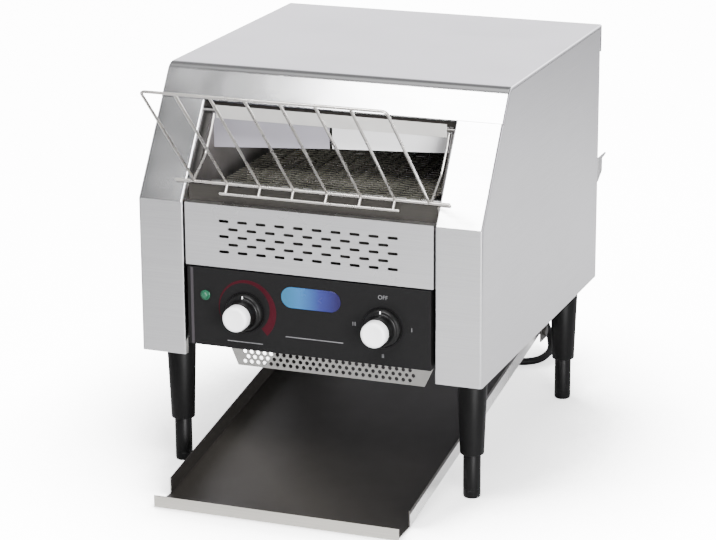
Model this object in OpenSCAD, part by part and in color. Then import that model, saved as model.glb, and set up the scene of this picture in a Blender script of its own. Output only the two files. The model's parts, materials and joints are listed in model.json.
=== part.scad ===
// Conveyor toaster: bread slides down a wire rack onto a mesh belt, passes between
// quartz heaters and drops down a chute to the toast tray under the body.
// Millimetres. X to the right, Y towards the back, Z up from the counter.
// The origin is at the middle of the outline, on the counter.

/* [Body] */
// Width of the body over the side covers
body_w = 368; // [360:1:380]
// Depth of the body from its front plane to its rear panel
body_d = 408; // [404:1:414]
// Height of the top cover above the counter
body_top = 418; // [414:1:424]
// Height of the side covers' lower edge above the counter
skirt_z = 132; // [128:1:136]
// Thickness of the casing's sheet steel
sheet_t = 1.2; // [1:0.1:1.4]
// Outside radius of the bend between the brow and the top
brow_bend_r = 14; // [10:1:18]
// Height at which the front starts to slope back
slope_z = 294; // [292:1:296]
// How far the slope runs back by the time it reaches the top
slope_run = 83; // [80:1:86]
// Height of the seam between the columns and the brow
seam_z = 386; // [384:1:388]
// Width of the opening between the columns
opening_w = 270; // [268:1:272]
// How far the top cover overhangs the rear panel
rear_overhang = 4.5; // [3:0.5:6]
// Height of the top cover's turned-down rear lip
rear_lip_h = 30; // [20:1:40]

/* [Front panels] */
// Height of the joint between the control panel and the vent panel
panel_joint_z = 228; // [226:1:230]
// Height of the control panel's lower edge
control_low_z = 144.6; // [143:0.2:146]
// Number of slots in the vent panel's odd rows
vent_columns = 10; // [8:1:11]
// Distance between neighbouring slots of one row
vent_pitch = 20.1; // [19:0.1:21]
// Length of one vent slot
vent_slot_l = 11; // [8:0.5:13]
// Width of one vent slot
vent_slot_w = 3; // [2:0.5:4]

/* [Controls] */
// Distance of the speed knob to the left of the middle
speed_x = 67.5; // [60:0.5:75]
// Distance of the selector knob to the right of the middle
selector_x = 80.5; // [74:0.5:86]
// Height of both knobs' axes
knob_z = 185; // [180:1:190]
// Diameter of the knobs' skirts
skirt_d = 41; // [36:1:46]
// Diameter of the knobs' caps
cap_d = 26.5; // [24:0.5:30]
// How far the knobs stand out from the control panel
knob_out = 30; // [26:1:34]

/* [Conveyor] */
// Height of the belt's upper surface
belt_z = 306; // [305:0.5:307]
// Width of the mesh belt
belt_w = 230; // [220:1:236]
// Thickness of the mesh belt
belt_t = 3; // [2.5:0.1:3.5]
// Outside radius of the belt round its sprockets
belt_r = 27; // [25:0.5:28]
// Diameter of both conveyor shafts
shaft_d = 12; // [10:1:14]

/* [Feed rack] */
// How far the feed rack reaches in front of the body
rack_reach = 112; // [108:1:116]
// Height of the feed rack's upper rod
rack_top_z = 433; // [428:1:438]
// Height of the rod on which the rack rests
rack_low_z = 314; // [312:1:316]
// Number of sloping wires
rack_wires = 8; // [6:1:10]
// Distance between neighbouring wires
rack_pitch = 35.8; // [34:0.2:36]
// Diameter of the rack's rods
rack_rod_d = 3.5; // [3:0.1:4]
// Diameter of the rack's sloping wires
rack_wire_d = 3; // [2.5:0.1:3.5]

/* [Toast tray] */
// Outside width of the toast tray
tray_w = 260; // [254:1:262]
// How far the tray's front lip stands in front of the body
tray_reach = 94; // [90:1:98]
// How far the tray's walls reach in front of the body
tray_wall_reach = 58; // [54:1:62]
// Height of the tray's front lip
tray_lip_h = 12.5; // [10:0.5:15]

/* [Legs] */
// Distance of the legs' axes from the body's sides
leg_inset_x = 24; // [22:1:26]
// Distance of the legs' axes from the body's front and back
leg_inset_y = 44; // [42:1:48]
// Height of the joint between a leg and its screw foot
leg_joint_z = 47; // [42:1:52]
// Diameter of the screw feet
foot_d = 18; // [16:0.5:19]

/* [Back and cord] */
// How far the rear spacers keep the body from a wall
spacer_reach = 30; // [26:1:34]
// Diameter of the mains cord
cord_d = 8.5; // [8:0.5:9]
// Height of the cord gland
gland_z = 165; // [162:1:170]
// Distance of the cord gland to the right of the middle
gland_x = 42; // [38:1:46]

/* [Hidden] */
$fn = 48;

// Places that follow from the driving dimensions
gap = 0.4;
half_w = body_w / 2;
front_y = rack_reach - (rack_reach + body_d + spacer_reach) / 2;
back_y = front_y + body_d;
slope_a = atan(slope_run / (body_top - slope_z));
slope_n = [-cos(slope_a), sin(slope_a)];
slope_u = [sin(slope_a), cos(slope_a)];
function slope_y(z) = front_y + (z - slope_z) * tan(slope_a);
seam_p = [slope_y(seam_z), seam_z];

// Control panel's folds, and the base plate behind them and inside the skirts
control_depth = 14;
base_front_y = front_y + control_depth + gap;
base_z = 146;
base_t = 1.5;
base_top = base_z + base_t;

// Oven box between the two inner walls
oven_half = 137.5;
roof_z = 384;
barrier_z = 238;
bulkhead_y = front_y + 268;
chute_back_y = back_y - 7;
drop_half = 132;

// Conveyor shafts
axis_z = belt_z - belt_r;
idler_y = front_y + 45;
drive_y = front_y + 313;
sprocket_r = belt_r - belt_t - gap;
bush_d = 20;
run = 0.05;

// Chain drive in the right-hand side compartment
chain_x = 155;
chain_w = 6;
motor_y = front_y + 213;
motor_z = 200;
drive_pitch_r = 28;
motor_pitch_r = 14;
chain_t = 4.5;

// Heater rows
upper_heater_z = 366;
lower_heater_z = axis_z;
heater_ys = [front_y + 108, front_y + 178, front_y + 248];
heater_d = 9;
heater_end_d = 14;
heater_end_l = 11;

// Legs
leg_x = half_w - leg_inset_x;
leg_front_y = front_y + leg_inset_y;
leg_rear_y = back_y - leg_inset_y;
leg_stud_d = 8;
foot_stem_d = 10;
foot_stem_l = 45;

// Toast tray
tray_half = tray_w / 2;
tray_front_y = front_y - tray_reach;
tray_wall_y = front_y - tray_wall_reach;
tray_pin_y = back_y - 33;
tray_pin_z = 72;
tray_pin_d = 6;
tray_curl_r = 4.4;
tray_curl_in = 2;
tray_end_z = tray_pin_z - 3.7;
tray_low_z = 0.3;
tray_t = 1.2;

// Feed rack
rack_low_y = slope_y(rack_low_z) - (rack_rod_d / 2 + 0.3) / cos(slope_a);
rack_top_y = front_y - rack_reach + rack_rod_d / 2;
rack_low_half = 146;
hook_x = 127;
stop_half = 95.5;
stop_y = front_y + 5;
stop_z = rack_low_z - 9;

// Cord: route of the part that isn't coiled, from the gland to the coil
gland_l = 28;
cord_r = cord_d / 2;
coil_c = [-58, 339];
coil_r = 5.5 * cord_d;
cord_route = [[42, 273, 165], [42, 285, 164], [42.5, 298, 160.5], [44, 311, 153.5], [46.5, 323, 143],
    [50, 334, 129.5], [54.5, 343.5, 114], [60, 351, 97.5], [66.5, 356.5, 81], [74, 360, 64.5],
    [82.5, 359.5, 49.5], [91, 355.5, 36.5], [98.5, 348.5, 26], [104.5, 338.5, 17.5], [108, 326.5, 11],
    [106.5, 313.5, 7.5], [101, 302.5, 5.2], [91.5, 294, 4.5], [81.5, 289.5, 4.4], [70, 288, 4.4],
    [52, 288, 4.4], [34, 288, 4.4], [16, 288, 4.4], [-2, 288, 4.4], [-20, 288, 4.4], [-36, 288, 4.4],
    [-50, 288, 4.4]];

// Plug beside the coil; its sleeve starts where the cord leaves the coil
plug_d = 36;
plug_x = -8;
plug_z = plug_d / 2 + 0.1;
plug_y = coil_c[1] + coil_r + cord_r;
sleeve_l = 44;
sleeve_drop = plug_z - 3 * cord_r - 0.1;

// ------------------------------------------------------------ shared shapes

module box(low, high) {
    translate(low) cube(high - low);
}

module both_sides() {
    children();
    mirror([1, 0, 0]) children();
}

// Extrudes a shape drawn in (y, z) from one x to another
module along_x(x0, x1) {
    translate([x0, 0, 0]) rotate([90, 0, 90]) linear_extrude(height = x1 - x0) children();
}

module pin_x(x0, x1, y, z, d) {
    translate([x0, y, z]) rotate([0, 90, 0]) cylinder(d = d, h = x1 - x0);
}

module pin_y(x, y0, y1, z, d) {
    translate([x, y0, z]) rotate([-90, 0, 0]) cylinder(d = d, h = y1 - y0);
}

module pin_z(x, y, z0, z1, d) {
    translate([x, y, z0]) cylinder(d = d, h = z1 - z0);
}

// Round rod between two points
module rod(p, q, d) {
    v = q - p;
    translate(p) rotate([0, acos(v[2] / norm(v)), atan2(v[1], v[0])]) cylinder(d = d, h = norm(v));
}

// Wire at one x through a list of (y, z) points, slightly thicker in its bends
module bent_wire(x, points, d) {
    last = len(points) - 1;
    for (i = [1 : last])
        rod([x, points[i - 1][0], points[i - 1][1]], [x, points[i][0], points[i][1]], d);
    for (i = [1 : last - 1]) translate([x, points[i][0], points[i][1]]) sphere(d = 1.12 * d);
}

// What a bend of radius r takes off the corner p between two edges
module corner_trim(p, angle_u, angle_v, r) {
    half = abs(angle_u - angle_v) / 2;
    middle = (angle_u + angle_v) / 2;
    inward = [cos(middle), sin(middle)];
    centre = p + r / sin(half) * inward;
    difference() {
        polygon([p - 2 * inward, p + r / tan(half) * [cos(angle_u), sin(angle_u)],
            centre, p + r / tan(half) * [cos(angle_v), sin(angle_v)]]);
        translate(centre) circle(r);
    }
}

// Slot with round ends, lying along x
module slot_2d(length, width) {
    straight = length - width;
    square([straight, width], center = true);
    for (s = [-1, 1]) translate([s * straight / 2, 0]) circle(d = width);
}

// Outline of a loop round two wheels of radius r1 and r2
module loop_2d(c1, r1, c2, r2) {
    steps = 24;
    v = c2 - c1;
    heading = atan2(v[1], v[0]);
    lean = acos((r1 - r2) / norm(v));
    rear = [for (k = [0 : steps]) let (a = heading + lean + k * (360 - 2 * lean) / steps)
        c1 + r1 * [cos(a), sin(a)]];
    front = [for (k = [0 : steps]) let (a = heading - lean + k * 2 * lean / steps)
        c2 + r2 * [cos(a), sin(a)]];
    polygon(concat(rear, front));
}

// Band of thickness t round the same two wheels
module band_2d(c1, r1, c2, r2, t) {
    difference() {
        loop_2d(c1, r1 + t, c2, r2 + t);
        loop_2d(c1, r1, c2, r2);
    }
}

// Shallow folded panel, open at the back
module folded_panel(x0, x1, y, z0, z1, depth) {
    difference() {
        box([x0, y, z0], [x1, y + depth, z1]);
        box([x0 + sheet_t, y + sheet_t, z0 + sheet_t], [x1 - sheet_t, y + depth + 1, z1 - sheet_t]);
    }
}

// ------------------------------------------------------------ casing

function low_corner(i) = [front_y + i, slope_z - i * tan(slope_a / 2)];
function high_corner(i) = [front_y + slope_run + i * tan(45 - slope_a / 2), body_top - i];

// Side outline of the casing, drawn i inside its outer face
module casing_profile(i, grow = 0) {
    high = high_corner(i);
    difference() {
        polygon([[front_y + i, skirt_z - grow], low_corner(i), high,
            [back_y + grow, body_top - i], [back_y + grow, skirt_z - grow]]);
        corner_trim(high, -90 - slope_a, 0, brow_bend_r - i);
    }
}

// Sheet-metal shell of the whole casing, open below and at the back
module casing_shell() {
    difference() {
        along_x(-half_w, half_w) casing_profile(0);
        along_x(-half_w + sheet_t, half_w - sheet_t) casing_profile(sheet_t, 20);
    }
}

// The skin above the seam, where the top cover lies; g widens it to leave a joint
top_fold = 3.2;
module top_cover_zone(g) {
    p = seam_p - g * slope_u;
    along_x(-half_w - 2, half_w + 2) difference() {
        polygon([p + 20 * slope_n, p - 30 * slope_n, [back_y + 30, seam_z - 30],
            [back_y + 30, body_top + 30], [p[0] - 20, body_top + 30]]);
        casing_profile(top_fold + g, 60);
    }
}

// Everything in front of the casing and under the seam
module below_seam_2d(depth) {
    p = seam_p - gap * slope_u;
    polygon([p + 10 * slope_n, p - depth * slope_n, [p[0] + depth, skirt_z - 1],
        [front_y - 10, skirt_z - 1], [front_y - 10, slope_z]]);
}

rear_screw_zs = [170, 225, 350];
rear_screw_x = half_w - 10;

// Right-hand side cover with its front column, the fold along the opening and a rear flange
module side_cover() {
    column_x = opening_w / 2;
    fold_depth = 7;
    difference() {
        intersection() {
            casing_shell();
            box([column_x, front_y - 1, skirt_z - 1], [half_w + 1, back_y + 1, body_top + 1]);
        }
        top_cover_zone(gap);
    }
    along_x(column_x, column_x + sheet_t) intersection() {
        difference() {
            casing_profile(0);
            casing_profile(fold_depth, 30);
        }
        below_seam_2d(20);
    }
    difference() {
        box([half_w - 18, back_y - 2 * sheet_t - 0.1, skirt_z + 20],
            [half_w - sheet_t / 2, back_y - sheet_t - 0.1, body_top - 8]);
        for (z = rear_screw_zs) pin_y(rear_screw_x, back_y - 10, back_y, z, 3.6);
    }
}

module right_side_cover() {
    color("gainsboro") side_cover();
}

module left_side_cover() {
    color("gainsboro") mirror([1, 0, 0]) side_cover();
}

module top_cover() {
    rear_y = back_y + rear_overhang;
    color("whitesmoke") {
        intersection() {
            casing_shell();
            top_cover_zone(0);
        }
        box([-half_w, back_y - 2, body_top - sheet_t], [half_w, rear_y, body_top]);
        box([-half_w, rear_y - sheet_t, body_top - rear_lip_h], [half_w, rear_y, body_top]);
    }
}

rear_vent_zs = [212, 228, 244, 320, 336, 352];

module rear_panel() {
    panel_half = half_w - sheet_t - gap;
    color("silver") difference() {
        box([-panel_half, back_y - sheet_t, skirt_z + 2], [panel_half, back_y, body_top - sheet_t - gap]);
        for (z = rear_vent_zs, k = [-3 : 3]) translate([k * 38, back_y + 1, z]) rotate([90, 0, 0])
            linear_extrude(height = 4) slot_2d(28, 4);
        both_sides() for (z = rear_screw_zs) pin_y(rear_screw_x, back_y - 4, back_y + 1, z, 3.6);
        pin_y(gland_x, back_y - 4, back_y + 1, gland_z, 16.2);
    }
}

leg_spots = [[-leg_x, leg_front_y], [leg_x, leg_front_y], [-leg_x, leg_rear_y], [leg_x, leg_rear_y]];
fan_c = [-70, front_y + 112];

// Base plate with the toast drop opening, folded down along both skirts
module base_plate() {
    plate_half = half_w - sheet_t - gap;
    color("darkgray") {
        difference() {
            box([-plate_half, base_front_y, base_z], [plate_half, back_y - 4, base_top]);
            box([-drop_half, bulkhead_y + 4, base_z - 1], [drop_half, chute_back_y, base_top + 1]);
            for (p = leg_spots) pin_z(p[0], p[1], base_z - 1, base_top + 1, leg_stud_d + 1);
            for (k = [-3 : 3]) translate([fan_c[0], fan_c[1] + k * 10, base_z - 1])
                linear_extrude(height = base_t + 2) slot_2d(64, 4);
        }
        both_sides() box([plate_half - sheet_t, base_front_y, skirt_z + 3],
            [plate_half, back_y - 20, base_z + 0.5]);
    }
}

// Vent panel between the columns: five staggered rows of slots
module front_vent_panel() {
    rows = 5;
    row_pitch = 8;
    low_z = 245.5;
    panel_half = opening_w / 2 - 2;
    color("lightgray") difference() {
        folded_panel(-panel_half, panel_half, front_y + 1.5, panel_joint_z + 0.8, slope_z, 11);
        for (r = [0 : rows - 1]) {
            count = vent_columns - r % 2;
            for (k = [0 : count - 1])
                translate([(k - (count - 1) / 2) * vent_pitch, front_y, low_z + r * row_pitch])
                    rotate([90, 0, 0]) linear_extrude(height = 8, center = true)
                        slot_2d(vent_slot_l, vent_slot_w);
        }
    }
}

lamp_x = -111;
lamp_z = 198.7;

module control_panel() {
    panel_half = opening_w / 2 - 4;
    color([0.12, 0.12, 0.13]) difference() {
        folded_panel(-panel_half, panel_half, front_y, control_low_z, panel_joint_z - 0.8, control_depth);
        for (x = [-speed_x, selector_x]) pin_y(x, front_y - 1, front_y + 3, knob_z, 11);
        pin_y(lamp_x, front_y - 1, front_y + 3, lamp_z, 8.1);
    }
}

// Folded strip that closes the gap between the vent panel and the belt
module feed_lip() {
    y0 = front_y + 13;
    lip_half = opening_w / 2 - 2;
    color([0.3, 0.31, 0.28]) {
        box([-lip_half, y0, panel_joint_z + 12], [lip_half, y0 + sheet_t, rack_low_z - 3]);
        box([-lip_half, y0, rack_low_z - 3 - sheet_t], [lip_half, y0 + 5, rack_low_z - 3]);
    }
}

// Perforated guard that hangs over the tray, with sloping ends
guard_y = front_y + 62;
guard_low_z = 105;
module exit_guard() {
    hole_pitch = 11.5;
    top_half = 121;
    low_half = 103;
    color("lightgray") {
        translate([0, guard_y, 0]) rotate([90, 0, 0]) linear_extrude(height = sheet_t) difference() {
            polygon([[-top_half, base_z], [top_half, base_z], [low_half, guard_low_z],
                [-low_half, guard_low_z]]);
            for (r = [0 : 3], k = [-8 : 8 - r % 2])
                translate([(k + (r % 2) / 2) * hole_pitch, guard_low_z + 4.5 + r * hole_pitch / 2])
                    circle(d = 3.8);
        }
        box([-top_half, guard_y - sheet_t, base_z - sheet_t], [top_half, guard_y + 14, base_z]);
    }
}

// Spacers that keep the body off a wall
module rear_spacers() {
    low_z = 241;
    high_z = 268;
    color("silver") both_sides() {
        along_x(half_w - 1.5, half_w) polygon([[back_y, low_z], [back_y + 16, low_z + 9],
            [back_y + 16, high_z - 4], [back_y + spacer_reach, high_z - 2],
            [back_y + spacer_reach, high_z], [back_y, high_z]]);
        box([half_w - 20, back_y, low_z], [half_w, back_y + 1.5, high_z]);
    }
}

// ------------------------------------------------------------ oven

heater_holes = [for (y = heater_ys, z = [upper_heater_z, lower_heater_z]) [y, z]];

// Right-hand inner wall; its front strip follows the sloping opening
module inner_wall() {
    along_x(oven_half, oven_half + sheet_t) difference() {
        intersection() {
            casing_profile(12);
            translate([front_y, base_top]) square([body_d - 3, body_top - 16 - base_top]);
        }
        for (y = [idler_y, drive_y]) translate([y, axis_z]) circle(d = bush_d);
        for (p = heater_holes) translate(p) circle(d = 5);
    }
    along_x(oven_half - 7.5, oven_half + sheet_t / 2) intersection() {
        difference() {
            casing_profile(12);
            casing_profile(12 + sheet_t, 30);
        }
        translate([front_y, rack_low_z + 4]) square([70, seam_z - rack_low_z - 10]);
    }
}

module inner_wall_left() {
    color("silver") mirror([1, 0, 0]) inner_wall();
}

module inner_wall_right() {
    color("silver") difference() {
        inner_wall();
        pin_x(oven_half - 1, oven_half + 2, motor_y, motor_z, 16);
    }
}

// Pale strip under the brow, wider at its top where it meets the columns' folds
module upper_guard() {
    y0 = front_y + 65;
    top_half = opening_w / 2 - 0.05;
    color([0.72, 0.71, 0.66]) {
        box([-124.5, y0, 367], [124.5, y0 + sheet_t, 384]);
        box([-top_half, y0, 378], [top_half, y0 + sheet_t, 384]);
    }
}

// The two guard plates in front of the upper heaters; their lower edges rise to the right
shield_y = front_y + 88;
module shield(x0, z0, x1, z1) {
    translate([0, shield_y + sheet_t, 0]) rotate([90, 0, 0]) linear_extrude(height = sheet_t)
        polygon([[x0, z0], [x1, z1], [x1, roof_z], [x0, roof_z]]);
}

module shield_left() {
    color([0.68, 0.67, 0.7]) shield(-oven_half, 330, -9.5, 338.5);
}

module shield_right() {
    color([0.92, 0.92, 0.92]) shield(-6.5, 338.8, oven_half, 346);
}

module upper_reflector() {
    rear_y = chute_back_y - 6;
    color("silver") {
        box([-oven_half, shield_y, roof_z], [oven_half, rear_y, roof_z + sheet_t]);
        box([-oven_half, rear_y - sheet_t, roof_z - 40], [oven_half, rear_y, roof_z]);
    }
}

module lower_reflector() {
    z0 = axis_z - 17;
    color("silver") {
        box([-oven_half, idler_y + 24, z0], [oven_half, drive_y - 28, z0 + sheet_t]);
        for (y = [idler_y + 24, drive_y - 28 - sheet_t])
            box([-oven_half, y, z0], [oven_half, y + sheet_t, z0 + 9]);
    }
}

// Floor of the oven and bulkhead between the controls and the toast drop
module heat_barrier() {
    color("darkgray") {
        box([-oven_half, front_y + 16, barrier_z], [oven_half, bulkhead_y, barrier_z + sheet_t]);
        box([-oven_half, bulkhead_y - sheet_t, base_top], [oven_half, bulkhead_y, barrier_z]);
    }
}

// Chute that turns falling toast forward onto the tray
module toast_chute() {
    r = 60;
    turn = 60;
    bend_z = 240;
    centre = [chute_back_y - r, bend_z];
    end = centre + r * [cos(turn), -sin(turn)];
    ahead = [-sin(turn), -cos(turn)];
    across = [cos(turn), -sin(turn)];
    color("lightgray") along_x(-oven_half + 0.5, oven_half - 0.5) {
        translate([chute_back_y - sheet_t, bend_z]) square([sheet_t, 95]);
        intersection() {
            translate(centre) difference() {
                circle(r);
                circle(r - sheet_t);
            }
            polygon([centre, centre + [2 * r, 0], centre + [2 * r, -2 * r], centre + 2 * r * across]);
        }
        polygon([end, end - sheet_t * across, end - sheet_t * across + 58 * ahead, end + 58 * ahead]);
    }
}

module heater_row(z) {
    for (y = heater_ys)
        pin_x(-oven_half + heater_end_l, oven_half - heater_end_l, y, z, heater_d);
}

module heaters() {
    color([1, 0.75, 0.6]) {
        heater_row(upper_heater_z);
        heater_row(lower_heater_z);
    }
}

module heater_ends() {
    color("white") both_sides() for (p = heater_holes)
        pin_x(oven_half - heater_end_l, oven_half, p[0], p[1], heater_end_d);
}

// ------------------------------------------------------------ conveyor

module conveyor_belt() {
    c1 = [idler_y, axis_z];
    c2 = [drive_y, axis_z];
    inner_r = belt_r - belt_t;
    color([0.25, 0.25, 0.22]) along_x(-belt_w / 2, belt_w / 2) band_2d(c1, inner_r, c2, inner_r, belt_t);
}

// Two rails that carry the belt's upper run, on two cross rods
module belt_rails() {
    rail_x = 60;
    rail_top = belt_z - belt_t - 0.3;
    y0 = idler_y + 28;
    y1 = drive_y - 28;
    color("silver") {
        both_sides() box([rail_x - 1.5, y0, rail_top - 8], [rail_x + 1.5, y1, rail_top]);
        for (y = [y0 + 8, y1 - 8]) pin_x(-oven_half, oven_half, y, rail_top - 8, 6);
    }
}

module shaft_bushes() {
    color("goldenrod") both_sides() for (y = [idler_y, drive_y]) difference() {
        union() {
            pin_x(oven_half - 5, oven_half + 5, y, axis_z, bush_d - 0.1);
            pin_x(oven_half - 5, oven_half - 2, y, axis_z, bush_d + 5);
        }
        pin_x(oven_half - 6, oven_half + 6, y, axis_z, shaft_d + 2 * run);
    }
}

// Toothed wheel round the x axis at the origin
module toothed_wheel(r, teeth, tooth, bore, width) {
    rotate([90, 0, 90]) linear_extrude(height = width, center = true) difference() {
        union() {
            circle(r - tooth);
            for (k = [0 : teeth - 1]) rotate(k * 360 / teeth)
                polygon([[0, -tooth * 0.7], [r - tooth, -tooth * 0.7], [r - 0.2, -tooth * 0.3],
                    [r - 0.2, tooth * 0.3], [r - tooth, tooth * 0.7], [0, tooth * 0.7]]);
        }
        circle(d = bore);
    }
}

// Thin chain wheel with a hub
module hubbed_wheel(r, teeth, bore) {
    toothed_wheel(r, teeth, 3, bore, 3);
    difference() {
        pin_x(-4, 4, 0, 0, bore + 6);
        pin_x(-5, 5, 0, 0, bore);
    }
}

sprocket_xs = [-96, -32, 32, 96];

module idler_shaft() {
    color("silver") pin_x(-oven_half - 9, oven_half + 9, idler_y, axis_z, shaft_d);
}

module idler_sprockets() {
    color("dimgray") for (x = sprocket_xs)
        translate([x, idler_y, axis_z]) toothed_wheel(sprocket_r, 12, 4, shaft_d, 8);
}

module drive_shaft() {
    color("silver") pin_x(-oven_half - 9, chain_x + 9, drive_y, axis_z, shaft_d);
}

module drive_sprockets() {
    color("dimgray") for (x = sprocket_xs)
        translate([x, drive_y, axis_z]) toothed_wheel(sprocket_r, 12, 4, shaft_d, 8);
}

module chain_wheel() {
    color("gray") translate([chain_x, drive_y, axis_z]) hubbed_wheel(drive_pitch_r, 28, shaft_d);
}

module drive_chain() {
    color("dimgray") along_x(chain_x - chain_w / 2, chain_x + chain_w / 2)
        band_2d([motor_y, motor_z], motor_pitch_r + gap, [drive_y, axis_z], drive_pitch_r + gap, chain_t);
}

motor_shaft_d = 8;

// Gear motor on the inside of the right-hand inner wall
module gear_motor() {
    color("slategray") difference() {
        union() {
            box([oven_half - 26, motor_y - 26, motor_z - 26], [oven_half, motor_y + 20, motor_z + 22]);
            pin_x(oven_half - 78, oven_half - 25, motor_y - 3, motor_z - 2, 44);
            pin_x(oven_half - 1, oven_half + 5, motor_y, motor_z, 15.8);
        }
        pin_x(oven_half - 20, oven_half + 6, motor_y, motor_z, motor_shaft_d + 2 * run);
    }
}

module motor_sprocket() {
    color("gray") {
        pin_x(oven_half - 19, chain_x + 7, motor_y, motor_z, motor_shaft_d);
        translate([chain_x, motor_y, motor_z]) hubbed_wheel(motor_pitch_r, 14, motor_shaft_d - 0.1);
    }
}

// ------------------------------------------------------------ controls

knob_bore = 6.1;
cap_l = 11;

// Spindle, threaded neck and housing of a panel control
module control_neck(x) {
    pin_y(x, front_y - 14, front_y + 4, knob_z, 6);
    pin_y(x, front_y - 0.5, front_y + 6, knob_z, 9.5);
}

module speed_control() {
    color("olivedrab") {
        control_neck(-speed_x);
        pin_y(-speed_x, front_y + 2, front_y + 20, knob_z, 30);
        box([-speed_x - 26, front_y + 19, knob_z - 22], [-speed_x + 26, front_y + 22, knob_z + 22]);
    }
}

module selector_switch() {
    color("ivory") {
        control_neck(selector_x);
        box([selector_x - 22, front_y + 2, knob_z - 22], [selector_x + 22, front_y + 34, knob_z + 22]);
    }
}

// Black skirt and barrel of a knob, with a pointer rib on its rim
module knob_skirt(x) {
    color([0.1, 0.1, 0.11]) difference() {
        union() {
            pin_y(x, front_y - 8, front_y - 0.6, knob_z, skirt_d);
            pin_y(x, front_y - knob_out + cap_l, front_y - 7, knob_z, cap_d + 3);
            box([x - 1.2, front_y - 9.2, knob_z + cap_d / 2], [x + 1.2, front_y - 7, knob_z + skirt_d / 2 - 0.6]);
        }
        pin_y(x, front_y - 16, front_y, knob_z, knob_bore);
        pin_y(x, front_y - 3, front_y, knob_z, 12);
    }
}

// Pale cap on the front end of a knob
module knob_cap(x) {
    color("whitesmoke") {
        pin_y(x, front_y - knob_out + 1.5, front_y - knob_out + cap_l, knob_z, cap_d);
        pin_y(x, front_y - knob_out, front_y - knob_out + 1.5, knob_z, cap_d - 3);
    }
}

module speed_knob() {
    knob_skirt(-speed_x);
}

module speed_cap() {
    knob_cap(-speed_x);
}

module selector_knob() {
    knob_skirt(selector_x);
}

module selector_cap() {
    knob_cap(selector_x);
}

// Indicator lamp in the panel
module lamp() {
    color("limegreen") {
        pin_y(lamp_x, front_y - 2.2, front_y, lamp_z, 10.5);
        pin_y(lamp_x, front_y - 0.1, front_y + 16, lamp_z, 8);
        intersection() {
            translate([lamp_x, front_y - 0.6, lamp_z]) sphere(d = 9);
            box([lamp_x - 6, front_y - 6, lamp_z - 6], [lamp_x + 6, front_y - 1, lamp_z + 6]);
        }
    }
}

// Blank pill-shaped plate on the control panel
module badge_plate() {
    color("royalblue") translate([3.8, front_y, 205.5]) rotate([90, 0, 0])
        linear_extrude(height = 1) slot_2d(64, 22);
}

module terminal_block() {
    ways = 5;
    pitch = 12;
    color("ivory") difference() {
        box([40, front_y + 90, base_top], [40 + ways * pitch, front_y + 108, base_top + 18]);
        for (k = [0 : ways - 1])
            pin_z(40 + (k + 0.5) * pitch, front_y + 99, base_top + 8, base_top + 19, 5);
        for (k = [1 : ways - 1])
            box([40 + k * pitch - 1, front_y + 89, base_top + 12], [40 + k * pitch + 1, front_y + 109, base_top + 19]);
    }
}

fan_w = 80;
fan_h = 25;

module fan_frame() {
    color([0.15, 0.15, 0.15]) {
        difference() {
            translate([fan_c[0] - fan_w / 2, fan_c[1] - fan_w / 2, base_top]) cube([fan_w, fan_w, fan_h]);
            pin_z(fan_c[0], fan_c[1], base_top - 1, base_top + fan_h + 1, fan_w - 5);
        }
        pin_z(fan_c[0], fan_c[1], base_top, base_top + 3, 30);
        pin_z(fan_c[0], fan_c[1], base_top, base_top + 14, 3);
        for (a = [45 : 90 : 315]) translate([fan_c[0], fan_c[1], base_top]) rotate(a)
            translate([12, -2, 0]) cube([fan_w / 2 - 13, 4, 3]);
    }
}

module fan_rotor() {
    color([0.2, 0.2, 0.2]) translate([fan_c[0], fan_c[1], base_top + 4]) {
        difference() {
            cylinder(d = 30, h = fan_h - 6);
            pin_z(0, 0, -1, 11, 3 + 2 * run);
        }
        for (a = [0 : 360 / 7 : 359]) rotate(a) translate([13, 0, (fan_h - 6) / 2]) rotate([52, 0, 0])
            translate([0, -8, -0.75]) cube([22, 16, 1.5]);
    }
}

// ------------------------------------------------------------ legs and feet

// Four tapered legs, each hollow for its screw foot, with a stud through the base plate
module legs() {
    color([0.13, 0.13, 0.14]) for (p = leg_spots) translate([p[0], p[1], 0]) {
        difference() {
            translate([0, 0, leg_joint_z]) cylinder(d1 = 24.4, d2 = 33, h = base_z - leg_joint_z);
            pin_z(0, 0, leg_joint_z - 1, leg_joint_z + foot_stem_l + 5, foot_stem_d + 2 * run);
        }
        pin_z(0, 0, base_z - 1, base_top + 11, leg_stud_d);
    }
}

module foot(p) {
    color([0.1, 0.1, 0.1]) translate([p[0], p[1], 0]) {
        cylinder(d1 = foot_d - 1, d2 = foot_d, h = 2);
        pin_z(0, 0, 2, leg_joint_z - 0.2, foot_d);
        pin_z(0, 0, leg_joint_z - 1, leg_joint_z + foot_stem_l, foot_stem_d);
    }
}

module foot_front_left() {
    foot(leg_spots[0]);
}

module foot_front_right() {
    foot(leg_spots[1]);
}

module foot_rear_left() {
    foot(leg_spots[2]);
}

module foot_rear_right() {
    foot(leg_spots[3]);
}

// ------------------------------------------------------------ toast tray

tray_end_y = tray_pin_y - tray_curl_in;
tray_floor_a = atan((tray_end_z - tray_low_z) / (tray_end_y - tray_wall_y));
function tray_floor_z(y) = tray_low_z + max(0, y - tray_wall_y) * tan(tray_floor_a);

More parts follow.
